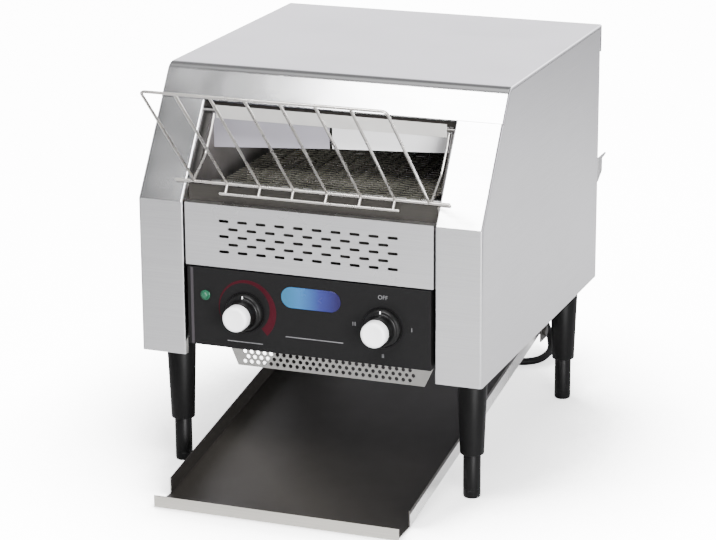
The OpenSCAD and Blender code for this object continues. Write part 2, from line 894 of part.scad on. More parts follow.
// Slide that rests on its front edge and hangs on the tray rod by a curl
module toast_tray() {
    rear_y = tray_pin_y - 7;
    lip_half = tray_half + 1;
    foot_z = tray_low_z + 0.4;
    color([0.3, 0.27, 0.25]) {
        along_x(-tray_half, tray_half) difference() {
            union() {
                polygon([[tray_front_y, tray_low_z], [tray_wall_y, tray_low_z],
                    [tray_end_y, tray_end_z], [tray_end_y, tray_end_z + tray_t],
                    [tray_wall_y, tray_low_z + tray_t], [tray_front_y, tray_low_z + tray_t]]);
                translate([tray_pin_y, tray_pin_z]) circle(tray_curl_r);
            }
            translate([tray_pin_y, tray_pin_z]) circle(d = tray_pin_d + 2 * run);
            translate([tray_pin_y - 9, tray_pin_z - 1]) square([9, 8]);
        }
        box([-lip_half, tray_front_y, tray_low_z], [lip_half, tray_front_y + tray_t, tray_lip_h]);
        both_sides() along_x(tray_half - tray_t, tray_half) polygon([[tray_wall_y, foot_z],
            [rear_y, tray_floor_z(rear_y) + 0.4], [rear_y, 87], [tray_wall_y, 18]]);
    }
}

module tray_rod() {
    color("silver") {
        pin_x(-oven_half, oven_half, tray_pin_y, tray_pin_z, tray_pin_d);
        both_sides() pin_x(oven_half - 2.8, oven_half, tray_pin_y, tray_pin_z, tray_pin_d + 5);
    }
}

module tray_brackets() {
    x0 = oven_half - 4.5;
    color("silver") both_sides() {
        difference() {
            box([x0, tray_pin_y - 12, tray_pin_z - 10], [x0 + 1.5, tray_pin_y + 12, base_z]);
            pin_x(x0 - 1, x0 + 3, tray_pin_y, tray_pin_z, tray_pin_d + 2 * run);
        }
        box([x0, tray_pin_y - 12, base_z - 1.5], [x0 + 9, tray_pin_y + 12, base_z]);
    }
}

// ------------------------------------------------------------ feed rack

wire_xs = [for (k = [0 : rack_wires - 1]) (k - (rack_wires - 1) / 2) * rack_pitch];

// Sloping wires welded to an upper and a lower rod, with a short bread stop under the lower one
// and a weld bead round each lower joint
module feed_rack() {
    color("lightgray") {
        pin_x(-rack_low_half, rack_low_half, rack_low_y, rack_low_z, rack_rod_d);
        pin_x(wire_xs[0] - 1.8, wire_xs[rack_wires - 1] + 1.8, rack_top_y, rack_top_z, rack_rod_d);
        pin_x(-stop_half, stop_half, stop_y, stop_z, rack_wire_d);
        for (x = wire_xs) {
            rod([x, rack_low_y, rack_low_z], [x, rack_top_y + 0.2, rack_top_z + 0.2], rack_wire_d);
            if (abs(x) < stop_half) rod([x, rack_low_y, rack_low_z], [x, stop_y, stop_z], rack_wire_d);
            translate([x, rack_low_y, rack_low_z]) sphere(d = rack_rod_d + 1);
        }
    }
}

hook_end = [front_y + 66, 371];

// Two bent arms that hold the rack from inside the opening
module rack_hooks() {
    color("lightgray") both_sides() bent_wire(hook_x, [[rack_low_y, rack_low_z], [front_y + 42, 334],
        [front_y + 58, 356], hook_end], rack_wire_d);
}

// Studs on the inner walls, just above the hooks' ends
module rack_studs() {
    stud_d = 4;
    reach = (rack_wire_d + stud_d) / 2 + 0.4;
    color("silver") both_sides() pin_x(hook_x - 2, oven_half, hook_end[0] - 0.3, hook_end[1] + reach, stud_d);
}

// ------------------------------------------------------------ fasteners and cord

module rear_screws() {
    color("silver") both_sides() for (z = rear_screw_zs) {
        pin_y(rear_screw_x, back_y, back_y + 2, z, 7);
        pin_y(rear_screw_x, back_y - 7, back_y + 0.5, z, 3.4);
    }
}

// Gland in the rear panel with a tapering sleeve round the cord
module cord_gland() {
    color([0.1, 0.1, 0.1]) {
        pin_y(gland_x, back_y - 5, back_y + 0.5, gland_z, 16);
        pin_y(gland_x, back_y - 5, back_y - 1.5, gland_z, 21);
        pin_y(gland_x, back_y, back_y + 4, gland_z, 22);
        translate([gland_x, back_y + 3.5, gland_z]) rotate([-90, 0, 0])
            cylinder(d1 = 16, d2 = cord_d + 2.5, h = gland_l - 3.5);
    }
}

cord_sides = 10;
function unit(v) = v / norm(v);
function path_dir(p, i) = unit(p[min(i + 1, len(p) - 1)] - p[max(i - 1, 0)]);
// Two directions across the path, kept steady by a fixed reference
function path_side(p, i) = unit(cross(path_dir(p, i), [0.93, -0.12, 0.35]));
function path_ring(p, i, r) = [for (k = [0 : cord_sides - 1])
    let (a = 360 * k / cord_sides, s = path_side(p, i), t = cross(path_dir(p, i), s))
    p[i] + r * (cos(a) * s + sin(a) * t)];

// Round tube swept along a list of points
module tube_along(p, r) {
    rings = len(p);
    points = [for (i = [0 : rings - 1]) each path_ring(p, i, r)];
    walls = [for (i = [0 : rings - 2], k = [0 : cord_sides - 1])
        let (n = (k + 1) % cord_sides, a = i * cord_sides, b = a + cord_sides)
        [a + k, a + n, b + n, b + k]];
    start = [for (k = [cord_sides - 1 : -1 : 0]) k];
    finish = [for (k = [0 : cord_sides - 1]) (rings - 1) * cord_sides + k];
    polyhedron(points = points, faces = concat(walls, [start, finish]), convexity = 6);
}

module power_cord() {
    color([0.08, 0.08, 0.08]) tube_along(cord_route, cord_r);
}

// Outer shape of the coiled part: two turns side by side, two layers high
module cord_coil() {
    color([0.08, 0.08, 0.08]) translate([coil_c[0], coil_c[1], 0.1]) rotate_extrude()
        translate([coil_r - cord_d, 0]) square([2 * cord_d, 2 * cord_d]);
}

// Round plug lying on its side, with a tapering sleeve towards the coil
module plug() {
    grip_d = 26;
    face_x = plug_x + 42;
    lean = atan(sleeve_drop / sleeve_l);
    color([0.08, 0.08, 0.08]) {
        translate([plug_x + 1, plug_y, plug_z]) rotate([0, -90 - lean, 0])
            cylinder(d1 = 17, d2 = cord_d + 2.5, h = sleeve_l);
        translate([plug_x, plug_y, plug_z]) rotate([0, 90, 0]) {
            cylinder(d1 = 20, d2 = grip_d, h = 4);
            translate([0, 0, 3.9]) cylinder(d = grip_d, h = 8);
            translate([0, 0, 11.8]) cylinder(d1 = grip_d, d2 = plug_d, h = 10);
            translate([0, 0, 21.7]) cylinder(d = plug_d, h = face_x - plug_x - 21.7);
        }
    }
}

module plug_pins() {
    face_x = plug_x + 42;
    color("silver") for (side = [-9.5, 9.5]) {
        pin_x(face_x, face_x + 17.5, plug_y + side, plug_z, 4.8);
        translate([face_x + 17.4, plug_y + side, plug_z]) rotate([0, 90, 0]) cylinder(d1 = 4.8, d2 = 2.8, h = 1.6);
    }
}

// ------------------------------------------------------------ assembly

left_side_cover();
right_side_cover();
top_cover();
rear_panel();
base_plate();
front_vent_panel();
control_panel();
feed_lip();
exit_guard();
rear_spacers();
inner_wall_left();
inner_wall_right();
upper_guard();
shield_left();
shield_right();
upper_reflector();
lower_reflector();
heat_barrier();
toast_chute();
heaters();
heater_ends();
conveyor_belt();
belt_rails();
shaft_bushes();
idler_shaft();
idler_sprockets();
drive_shaft();
drive_sprockets();
chain_wheel();
drive_chain();
gear_motor();
motor_sprocket();
speed_control();
selector_switch();
speed_knob();
speed_cap();
selector_knob();
selector_cap();
lamp();
badge_plate();
terminal_block();
fan_frame();
fan_rotor();
legs();
foot_front_left();
foot_front_right();
foot_rear_left();
foot_rear_right();
toast_tray();
tray_rod();
tray_brackets();
feed_rack();
rack_hooks();
rack_studs();
rear_screws();
cord_gland();
power_cord();
cord_coil();
plug();
plug_pins();
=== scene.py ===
import json
from math import acos, atan2, cos, dist, hypot, pi, radians, sin, tan

import bmesh
import bpy
from mathutils import Matrix, Vector

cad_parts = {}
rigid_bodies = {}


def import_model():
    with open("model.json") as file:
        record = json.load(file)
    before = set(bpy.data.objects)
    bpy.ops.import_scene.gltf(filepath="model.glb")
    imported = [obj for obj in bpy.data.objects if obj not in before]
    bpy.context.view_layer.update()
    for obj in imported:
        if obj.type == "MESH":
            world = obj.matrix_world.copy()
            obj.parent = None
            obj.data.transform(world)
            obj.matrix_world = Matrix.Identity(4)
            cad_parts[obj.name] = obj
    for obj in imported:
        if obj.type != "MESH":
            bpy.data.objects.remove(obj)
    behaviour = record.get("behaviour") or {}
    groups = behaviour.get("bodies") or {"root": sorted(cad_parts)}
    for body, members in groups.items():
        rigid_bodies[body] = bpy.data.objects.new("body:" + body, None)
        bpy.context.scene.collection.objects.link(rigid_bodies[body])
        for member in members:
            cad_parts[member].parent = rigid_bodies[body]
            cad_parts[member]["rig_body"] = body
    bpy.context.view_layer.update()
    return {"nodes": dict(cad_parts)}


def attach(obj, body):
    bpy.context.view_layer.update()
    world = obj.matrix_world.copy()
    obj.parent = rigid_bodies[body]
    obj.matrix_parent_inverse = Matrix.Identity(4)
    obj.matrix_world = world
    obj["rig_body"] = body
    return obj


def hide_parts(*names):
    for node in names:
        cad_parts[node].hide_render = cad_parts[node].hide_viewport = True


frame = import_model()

# ---------------- camera
# A long lens, a little above the toaster and to the right of its front, level apart from a
# slight turn about its own axis.
camera_aim = (-0.018357, 0.027496, 0.17996)
camera_distance = 2.878735
camera_azimuth, camera_elevation, camera_roll = (radians(a) for a in (20.909, 16.835, -0.331))


def in_scene(name, data):
    """A new object, put into the scene."""
    thing = bpy.data.objects.new(name, data)
    bpy.context.scene.collection.objects.link(thing)
    return thing


def given(thing, **values):
    """The thing, with some of its properties set."""
    for name, value in values.items():
        setattr(thing, name, value)
    return thing


lens = given(bpy.data.cameras.new("camera"), lens=135.4318, sensor_width=36)
camera = in_scene("camera", lens)
camera.matrix_world = (
    Matrix.Translation(camera_aim)
    @ Matrix.Rotation(camera_azimuth, 4, "Z")
    @ Matrix.Rotation(pi / 2 - camera_elevation, 4, "X")
    @ Matrix.Rotation(camera_roll, 4, "Z")
    @ Matrix.Translation((0, 0, camera_distance))
)
bpy.context.scene.camera = camera

# ---------------- mains cord
# A black rubber cord leaves the rear panel through a gland with a ribbed sleeve, drops to the
# counter and is put away as a round coil behind the body. Its round plug lies beside the coil.
MM = 0.001  # every piece is drawn in millimetres
cord_d = 8.5
cord_exit = (42, 250, 165)
cord_route = [cord_exit, (42, 262, 165), (42, 273, 165), (42, 285, 164), (42.5, 298, 160.5),
    (44, 311, 153.5), (46.5, 323, 143), (50, 334, 129.5), (54.5, 343.5, 114), (60, 351, 97.5),
    (66.5, 356.5, 81), (74, 360, 64.5), (82.5, 359.5, 49.5), (91, 355.5, 36.5), (98.5, 348.5, 26),
    (104.5, 338.5, 17.5), (108, 326.5, 11), (106.5, 313.5, 7.5), (101, 302.5, 5.2),
    (91.5, 294, 4.5), (81.5, 289.5, 4.4), (70, 288, 4.4), (52, 288, 4.4), (34, 288, 4.4),
    (16, 288, 4.4), (-2, 288, 4.4), (-20, 288, 4.4), (-36, 288, 4.4), (-50, 288, 4.4)]
coil_x, coil_y = -58, 339
outer_turn, inner_turn = 6 * cord_d, 5 * cord_d
lower_layer, upper_layer = 4.35, 4.35 + cord_d
plug_x, plug_y, plug_z = -8, coil_y + outer_turn, 18.1
sleeve_length, sleeve_drop = 44, plug_z - upper_layer
sleeve_way = Vector((-sleeve_length, 0, -sleeve_drop)).normalized()
sleeve_end = Vector((plug_x, plug_y, plug_z)) + sleeve_length * sleeve_way


def around(x, y, radius, angle):
    """The point at an angle round a centre."""
    return x + radius * cos(angle), y + radius * sin(angle)


def eased(swept, start, end):
    """0 before start, 1 after end, and a smooth step between them."""
    t = min(max((swept - start) / (end - start), 0), 1)
    return t * t * (3 - 2 * t)


def coil_point(swept):
    """The coil's centreline after it has turned so many degrees, clockwise from above."""
    inward = eased(swept, 310, 360) - eased(swept, 900, 960)
    radius = outer_turn - inward * (outer_turn - inner_turn)
    height = lower_layer + eased(swept, 610, 670) * (upper_layer - lower_layer)
    return (*around(coil_x, coil_y, radius, radians(-90 - swept)), height)


cord_path = cord_route + [coil_point(swept) for swept in range(0, 1261, 15)]
cord_path += [tuple(sleeve_end + Vector((3, 0, 0.1))), (plug_x - 22, plug_y, 15.6),
    (plug_x, plug_y, plug_z)]


def rgba(colour):
    """A colour with its alpha; one number stands for a grey."""
    return (*colour, 1) if isinstance(colour, tuple) else (colour, colour, colour, 1)


def sockets(made):
    """The inputs of a material's shader."""
    return made.node_tree.nodes["Principled BSDF"].inputs


def finish(name, colour, roughness, metallic=0.0, specular=0.5, **even):
    """A new material; what is the same all over is set on the shader's own sockets."""
    made = bpy.data.materials.new(name)
    made.use_nodes = True
    even.update(Base_Color=rgba(colour), Roughness=roughness, Metallic=metallic,
        Specular_IOR_Level=specular)
    for socket, value in even.items():
        sockets(made)[socket.replace("_", " ")].default_value = value
    return made


def wired(made, kind, output, *values, operation=None, **named):
    """A new node's output; its inputs are values or the outputs of other nodes."""
    tree = getattr(made, "node_tree", made)
    fresh = tree.nodes.new(kind if "Node" in kind else "ShaderNode" + kind)
    if operation:
        fresh.operation = operation
    fills = list(zip(fresh.inputs, values))
    fills += [(fresh.inputs[name.replace("_", " ")], value) for name, value in named.items()]
    for socket, value in fills:
        if isinstance(value, bpy.types.NodeSocket):
            tree.links.new(value, socket)
        else:
            socket.default_value = value
    return fresh.outputs[output]


def grain(made, size, stretch=(1, 1, 1), detail=3.0):
    """Noise on the piece; a small stretch draws it out along that axis."""
    place = wired(made, "TexCoord", "Object")
    place = wired(made, "Mapping", "Vector", Vector=place, Scale=stretch)
    return wired(made, "TexNoise", "Fac", Vector=place, Scale=size, Detail=detail)


def fed(made, socket, pattern):
    """Lets a pattern drive one of the shader's sockets."""
    made.node_tree.links.new(pattern, sockets(made)[socket])


def noise(made, pattern):
    """The pattern itself, or plain grain where only its size is given."""
    return pattern if isinstance(pattern, bpy.types.NodeSocket) else grain(made, pattern)


def graded(made, pattern, stops):
    """The colour that a pattern picks between (place, colour) stops."""
    picked = wired(made, "ValToRGB", "Color", Fac=pattern)
    elements = picked.node.color_ramp.elements
    while len(elements) < len(stops):
        elements.new(0.5)
    for element, (where, colour) in zip(elements, stops):
        element.position = where
        element.color = rgba(colour)
    return picked


def tinted(made, pattern, *stops):
    """Lets a pattern choose the base colour between (place, colour) stops."""
    fed(made, "Base Color", graded(made, noise(made, pattern), stops))


def mottled(made, pattern, dark, pale):
    """Lets noise vary the base colour between two colours."""
    tinted(made, pattern, (0.3, dark), (0.7, pale))


def smudged(made, pattern, low, high):
    """Lets a pattern vary the roughness between two values."""
    fed(made, "Roughness", wired(made, "MapRange", "Result", Value=noise(made, pattern),
        From_Min=0.3, From_Max=0.7, To_Min=low, To_Max=high))


def raised(made, pattern, height, strength=1.0):
    """Adds relief of a height in millimetres to any that is there."""
    normal = sockets(made)["Normal"]
    under = {"Normal": normal.links[0].from_socket} if normal.is_linked else {}
    fed(made, "Normal", wired(made, "Bump", "Normal", Height=noise(made, pattern),
        Distance=height * MM, Strength=strength, **under))


def lathe(mesh, profile, foot, way, sides=48):
    """Adds a turned body: (radius, distance along way) pairs, from one closed end to the other."""
    turn = Vector((0, 0, 1)).rotation_difference(Vector(way)).to_matrix()
    rings = []
    for radius, along in profile:
        angles = [2 * pi * k / sides for k in range(sides if radius > 0 else 1)]
        spots = [Vector((*around(0, 0, radius, a), along)) for a in angles]
        rings.append([mesh.verts.new(Vector(foot) + turn @ spot) for spot in spots])
    faces = []
    for near, far in zip(rings, rings[1:]):
        for k in range(sides):
            corners = [near[k % len(near)], near[(k + 1) % len(near)],
                far[(k + 1) % len(far)], far[k % len(far)]]
            faces.append(mesh.faces.new(list(dict.fromkeys(corners))))
    bmesh.ops.recalc_face_normals(mesh, faces=faces)


def shaped(name, mesh, scale=MM, crease=35):
    """Ends the drawing: a named object with soft shading and sharp creases."""
    bmesh.ops.scale(mesh, vec=(scale, scale, scale), verts=mesh.verts)
    data = bpy.data.meshes.new(name)
    mesh.to_mesh(data)
    mesh.free()
    data.shade_smooth()
    data.set_sharp_from_angle(angle=radians(crease))
    return in_scene(name, data)


def fitted(piece, made, *nodes, slot=None, body=None):
    """Gives a piece its finish and body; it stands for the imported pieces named."""
    piece.data.materials.clear()
    piece.data.materials.append(made)
    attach(piece, body or frame["nodes"][nodes[0]]["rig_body"])
    if nodes:
        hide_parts(*nodes)
    return piece


def turned(name, profile, spots, way, sides, made, *nodes):
    """A turned piece, or as many as there are spots, fitted."""
    mesh = bmesh.new()
    for spot in spots:
        lathe(mesh, profile, spot, way, sides)
    return fitted(shaped(name, mesh), made, *nodes)


rubber = finish("cord_rubber", 0.003, 0.5, specular=0.12)
rubber_grain = grain(rubber, 900)
tinted(rubber, rubber_grain, (0.35, (0.002, 0.002, 0.0021)), (0.75, (0.0045, 0.0045, 0.0047)))
smudged(rubber, 60, 0.42, 0.62)
raised(rubber, rubber_grain, 0.05)

cord_line = given(bpy.data.curves.new("mains_cord", "CURVE"), dimensions="3D",
    bevel_depth=cord_d / 2 * MM, bevel_resolution=3, resolution_u=6, use_fill_caps=True)
cord_spline = cord_line.splines.new("BEZIER")
cord_spline.bezier_points.add(len(cord_path) - 1)
for knot, spot in zip(cord_spline.bezier_points, cord_path):
    knot.co = Vector(spot) * MM
    knot.handle_left_type = knot.handle_right_type = "AUTO"
mains_cord = in_scene("mains_cord", cord_line)
fitted(mains_cord, rubber, "power_cord", "cord_coil")

sleeve_near, sleeve_far = 8, 5.5
rib_pitch, groove = 3.2, 0.9


def ribbed(start, end):
    """Profile of a strain relief, a taper ringed with grooves."""
    profile = [(sleeve_near, start)]
    for k in range(int((end - start - 3) / rib_pitch)):
        along = start + 2 + k * rib_pitch
        radius = sleeve_near - (sleeve_near - sleeve_far) * (along - start) / (end - start)
        profile += [(radius, along), (radius, along + 1.7)]
        profile += [(radius - groove, along + 2), (radius - groove, along + 2.9)]
    tip = [(sleeve_far, end - 2), (sleeve_far, end - 0.4), (sleeve_far - 0.4, end), (0, end)]
    return profile + tip


gland_back = [(0, 0), (10.1, 0), (10.5, 0.4), (10.5, 3.5), (8, 3.5), (8, 5), (10.6, 5), (11, 5.4),
    (11, 8.4), (10.2, 9)]
cord_gland_sleeve = turned("cord_gland_sleeve", gland_back + ribbed(9, 33), [(42, 240, 165)],
    (0, 1, 0), 48, rubber, "cord_gland")

plug = bmesh.new()
lathe(plug, [(0, 0)] + ribbed(1, sleeve_length), (plug_x + 1, plug_y, plug_z), sleeve_way)
plug_profile = [(0, 0), (9.4, 0), (10, 0.6)]
for ridge in range(3):
    plug_profile += [(11 + ridge, 3 + 3 * ridge), (11.8 + ridge, 3.8 + 3 * ridge),
        (11.4 + ridge, 5.4 + 3 * ridge)]
plug_profile += [(13.2, 12.6), (14.2, 15), (17, 20.8), (17.8, 22.6), (18, 24.5), (18, 40.6),
    (16.8, 42), (0, 42)]
lathe(plug, plug_profile, (plug_x, plug_y, plug_z), (1, 0, 0))
plug_body = fitted(shaped("plug_body", plug), rubber, "plug")

nickel = finish("pin_nickel", (0.62, 0.6, 0.55), 0.22, 1.0)
smudged(nickel, grain(nickel, 400, (0.1, 1, 1)), 0.16, 0.34)
pin_profile = [(0, 0), (2.4, 0), (2.4, 16.6), (2.1, 17.8), (1.4, 18.7), (0, 19)]
pin_spots = [(plug_x + 42, plug_y + side, plug_z) for side in (-9.5, 9.5)]
plug_pin_pair = turned("plug_pin_pair", pin_profile, pin_spots, (1, 0, 0), 24, nickel, "plug_pins")

# ---------------- base, legs and feet
# A folded steel pan closes the body from below. Four black moulded legs taper down from it,
# each on its own stud, and a plain round foot screws into each leg to level the toaster.


def cad_mesh(node):
    """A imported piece's own mesh, merged, with its flats made whole."""
    mesh = bmesh.new()
    mesh.from_mesh(frame["nodes"][node].data)
    bmesh.ops.remove_doubles(mesh, verts=mesh.verts, dist=2e-6)
    bmesh.ops.dissolve_limit(mesh, angle_limit=radians(0.5), verts=mesh.verts, edges=mesh.edges)
    return mesh


def as_packed(name, node, made, edge=0.0, slot=None):
    """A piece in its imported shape, its sharp edges broken by so many millimetres."""
    piece = shaped(name, cad_mesh(node), 1.0)
    if edge:
        given(piece.modifiers.new("broken_edges", "BEVEL"), width=edge * MM, segments=2,
            limit_method="ANGLE", angle_limit=radians(35), harden_normals=True)
    return fitted(piece, made, node, slot=slot)


def sheet_steel(name, colour, roughness, along, metallic=1.0):
    """Brushed or rolled sheet whose grain runs along the axes named ("x", "y" or "xy")."""
    made = finish(name, colour, roughness, metallic)
    lines = grain(made, 900, tuple(0.012 if axis in along else 1.0 for axis in "xyz"), 4)
    dark, pale = (tuple(c * (1 + side * 0.04) for c in colour) for side in (-1, 1))
    tinted(made, lines, (0.35, dark), (0.65, pale))
    smudged(made, grain(made, 9, detail=5), roughness - 0.05, roughness + 0.07)
    raised(made, lines, 0.012, 0.5)
    raised(made, 5, 0.35, 0.25)
    return made


plain_steel = sheet_steel("plain_steel", (0.42, 0.42, 0.42), 0.42, "xy")
as_packed("base_pan", "base_plate", plain_steel)

leg_black = finish("leg_black", 0.003, 0.42, specular=0.1)
leg_grain = grain(leg_black, 1400)
tinted(leg_black, leg_grain, (0.3, 0.002), (0.8, (0.0045, 0.0045, 0.0047)))
smudged(leg_black, grain(leg_black, 30, (1, 1, 0.3)), 0.34, 0.5)
raised(leg_black, leg_grain, 0.04)

leg_spots = {"front_left": (-160, -119, 0), "front_right": (160, -119, 0),
    "rear_left": (-160, 201, 0), "rear_right": (160, 201, 0)}
leg_profile = [(0, 95), (5.1, 95), (5.1, 48), (5.6, 47), (11.9, 47), (12.3, 47.4), (12.4, 48.6),
    (15.55, 134.5), (15.3, 135), (15.3, 136), (15.7, 136.5), (16.3, 144.6), (15.9, 145.9), (4, 146),
    (4, 158), (3.6, 158.5), (0, 158.5)]
foot_profile = [(0, 0), (8, 0), (8.5, 0.4), (8.7, 1.2), (9, 2.4), (9, 8), (8.75, 8.3), (8.75, 9.3),
    (9, 9.6), (9, 45.9), (8.5, 46.7), (5, 46.8)]
thread_pitch = 1.75
for thread in range(24):
    foot_profile += [(5, 48 + thread_pitch * thread), (4.45, 48.9 + thread_pitch * thread)]
foot_profile += [(4.2, 91.6), (3.6, 92), (0, 92)]
turned("tapered_legs", leg_profile, leg_spots.values(), (0, 0, 1), 64, leg_black, "legs")
for corner, spot in leg_spots.items():
    turned("screw_foot_" + corner, foot_profile, [spot], (0, 0, 1), 40, leg_black, "foot_" + corner)

# ---------------- fan and terminals
# A square fan on the base pan cools the controls, and the mains wires end in a row of screw
# terminals. Both are moulded plastic.
fan_black = finish("fan_black", (0.025, 0.025, 0.026), 0.5)
raised(fan_black, 1200, 0.03)
smudged(fan_black, 40, 0.42, 0.6)
as_packed("fan_housing", "fan_frame", fan_black)
as_packed("fan_wheel", "fan_rotor", fan_black)

ivory = finish("moulded_ivory", (0.68, 0.62, 0.48), 0.4)
tinted(ivory, 30, (0.3, (0.62, 0.56, 0.42)), (0.8, (0.72, 0.66, 0.53)))
raised(ivory, 900, 0.02)
as_packed("terminal_row", "terminal_block", ivory)

# ---------------- oven box
# Walls, reflectors, bulkhead and chute are folded from thin sheet and close the hot space. Two
# guard plates and a pale strip shield the upper heaters from the feed side.
reflector_plate = sheet_steel("reflector_plate", (0.6, 0.6, 0.62), 0.34, "x")
as_packed("roof_reflector", "upper_reflector", reflector_plate, 0.25)
as_packed("belt_reflector", "lower_reflector", reflector_plate, 0.25)
heat_steel = sheet_steel("heat_darkened_steel", (0.24, 0.22, 0.21), 0.5, "y", 0.4)
tinted(heat_steel, grain(heat_steel, 14, detail=6), (0.3, (0.11, 0.1, 0.095)),
    (0.5, (0.17, 0.16, 0.155)), (0.75, (0.24, 0.23, 0.225)))
dark_steel = sheet_steel("dark_steel", (0.07, 0.066, 0.06), 0.5, "x")
# A near-black copy of the steel: painted shade on the inner walls' forward faces, and also the
# plain dark steel of the tray's rod and brackets.
shade_and_rod_steel = sheet_steel("opening_shade_and_rod_steel", (0.028, 0.026, 0.024), 0.55, "x", 0.5)
for side in ("left", "right"):
    node = "inner_wall_" + side
    inner_wall = as_packed(node + "_plate", node, heat_steel, slot="plain_steel")
    # Faces that look forward, the walls' edges at the opening, take the near-black copy: painted
    # shade.
    inner_wall.data.materials.append(shade_and_rod_steel)
    for face in inner_wall.data.polygons:
        face.material_index = 1 if abs(face.normal.x) < 0.5 else 0
as_packed("bulkhead", "heat_barrier", plain_steel, 0.25)
as_packed("curved_chute", "toast_chute", plain_steel)

# The strip is darker at its two ends, and its upper edge carries painted shade: the shadow under
# the brow.
pale_strip = sheet_steel("upper_guard_steel", (0.6, 0.59, 0.56), 0.45, "x")
dark_end_x, painted_shade_top_z = 124.5, 380.6


def dark_band_math(operation, *values):
    """One sum in the pattern of dark ends and painted shade."""
    return wired(pale_strip, "Math", "Value", *values, operation=operation)


dark_band_place = wired(pale_strip, "TexCoord", "Object")
dark_band_x, dark_band_z = (wired(pale_strip, "SeparateXYZ", axis, dark_band_place) for axis in "XZ")
dark_ends = dark_band_math("GREATER_THAN", dark_band_math("ABSOLUTE", dark_band_x), dark_end_x * MM)
# Above this height the strip is painted dark: painted shade where the brow overhangs its upper
# edge.
painted_shade_top = dark_band_math("GREATER_THAN", dark_band_z, painted_shade_top_z * MM)
dark_ends_and_painted_shade = dark_band_math("ADD", dark_band_math("MULTIPLY", dark_band_math("MAXIMUM", dark_ends, painted_shade_top), 0.6),
    dark_band_math("MULTIPLY", grain(pale_strip, 30), 0.4))
tinted(pale_strip, dark_ends_and_painted_shade, (0.1, (0.76, 0.75, 0.72)), (0.35, (0.88, 0.87, 0.84)),
    (0.7, (0.03, 0.028, 0.026)))
as_packed("brow_strip", "upper_guard", pale_strip, 0.25, slot="plain_steel")

# The two guard plates are drawn as two copies of one plate: grey for the left plate in painted
# shade, near white for the right plate in painted light from the front.
shield_shaded_grey = finish("shield_left_painted_shade", (0.38, 0.37, 0.42), 0.45, 0.3)
tinted(shield_shaded_grey, grain(shield_shaded_grey, 5, (1, 0.2, 2)), (0.3, (0.3, 0.29, 0.33)),
    (0.75, (0.47, 0.455, 0.51)))
shield_lit_white = finish("bright_plate", 0.93, 0.4)
mottled(shield_lit_white, 6, 0.9, 0.95)
for made in (shield_shaded_grey, shield_lit_white):
    raised(made, grain(made, 700, (0.02, 1, 1)), 0.015)
as_packed("guard_plate_left", "shield_left", shield_shaded_grey, 0.25, slot="reflector_plate")
as_packed("guard_plate_right", "shield_right", shield_lit_white, 0.25)

# ---------------- quartz heaters
# Three frosted quartz tubes above the belt and three inside its loop, each with a wound filament,
# held between white ceramic end caps.
oven_half = 137.5
cap_length = 11
heater_spots = [(y, z) for y in (-55, 15, 85) for z in (366, 279)]
heater_reach = oven_half - cap_length
filament_r, filament_steps = 2.2, 8 * 60


def skinned(mesh, rings):
    """Joins rings of as many points into one closed skin that faces outwards."""
    rings = [[mesh.verts.new(point) for point in ring] for ring in rings]
    faces = [mesh.faces.new(rings[0]), mesh.faces.new(rings[-1])]
    for near, far in zip(rings, rings[1:]):
        for k in range(len(near)):
            faces.append(mesh.faces.new((near[k - 1], near[k], far[k], far[k - 1])))
    bmesh.ops.recalc_face_normals(mesh, faces=faces)


def tube(mesh, points, radius, sides=12):
    """Adds round wire through the points, with rounded ends."""
    points = [Vector(p) for p in points]
    ways = [(b - a).normalized() for a, b in zip(points, points[1:])]
    across = ways[0].orthogonal().normalized()
    spots = [(points[0] - 0.3 * radius * ways[0], ways[0], 0.75 * radius)]
    for i, point in enumerate(points):
        along = (ways[max(i - 1, 0)] + ways[min(i, len(ways) - 1)]).normalized()
        spots.append((point, along, radius))
    spots[1] = (points[0] + 0.02 * radius * ways[0], ways[0], radius)
    spots.append((points[-1] + 0.3 * radius * ways[-1], ways[-1], 0.75 * radius))
    rings = []
    for point, along, size in spots:
        across = (across - along * across.dot(along)).normalized()
        side = along.cross(across)
        angles = [2 * pi * k / sides for k in range(sides)]
        rings.append([point + size * (cos(a) * across + sin(a) * side) for a in angles])
    skinned(mesh, rings)


quartz = finish("frosted_quartz", (0.93, 0.9, 0.86), 0.3, IOR=1.46, Transmission_Weight=0.75)
smudged(quartz, 50, 0.22, 0.42)
ceramic = finish("white_ceramic", (0.8, 0.77, 0.7), 0.6)
mottled(ceramic, 120, (0.74, 0.71, 0.63), (0.84, 0.81, 0.75))
raised(ceramic, 900, 0.05)
filament_wire = finish("filament_wire", (0.2, 0.17, 0.15), 0.5, 0.9)
mottled(filament_wire, 300, (0.14, 0.11, 0.09), (0.27, 0.24, 0.21))

tube_profile = [(3.4, 0), (4.5, 0), (4.5, 2 * heater_reach), (3.4, 2 * heater_reach), (3.4, 0)]
end_profile = [(0, 0), (6.4, 0), (7, 0.6), (7, 7.5), (6.2, 8), (6.2, 10.4), (5.6, cap_length),
    (0, cap_length)]
tubes, caps, coils = bmesh.new(), bmesh.new(), bmesh.new()
for y, z in heater_spots:
    lathe(tubes, tube_profile, (-heater_reach, y, z), (1, 0, 0), 24)
    wound = [(-heater_reach + 2 * heater_reach * k / filament_steps,
        *around(y, z, filament_r, k * pi / 4)) for k in range(filament_steps + 1)]
    tube(coils, wound, 0.35, 4)
    for hand in (-1, 1):
        lathe(caps, end_profile, (hand * oven_half, y, z), (-hand, 0, 0), 32)
bmesh.ops.remove_doubles(tubes, verts=tubes.verts, dist=1e-4)
fitted(shaped("quartz_tubes", tubes), quartz, "heaters", slot="quartz")
fitted(shaped("heater_filaments", coils), filament_wire, body="toaster", slot="turned_steel")
fitted(shaped("ceramic_caps", caps), ceramic, "heater_ends")

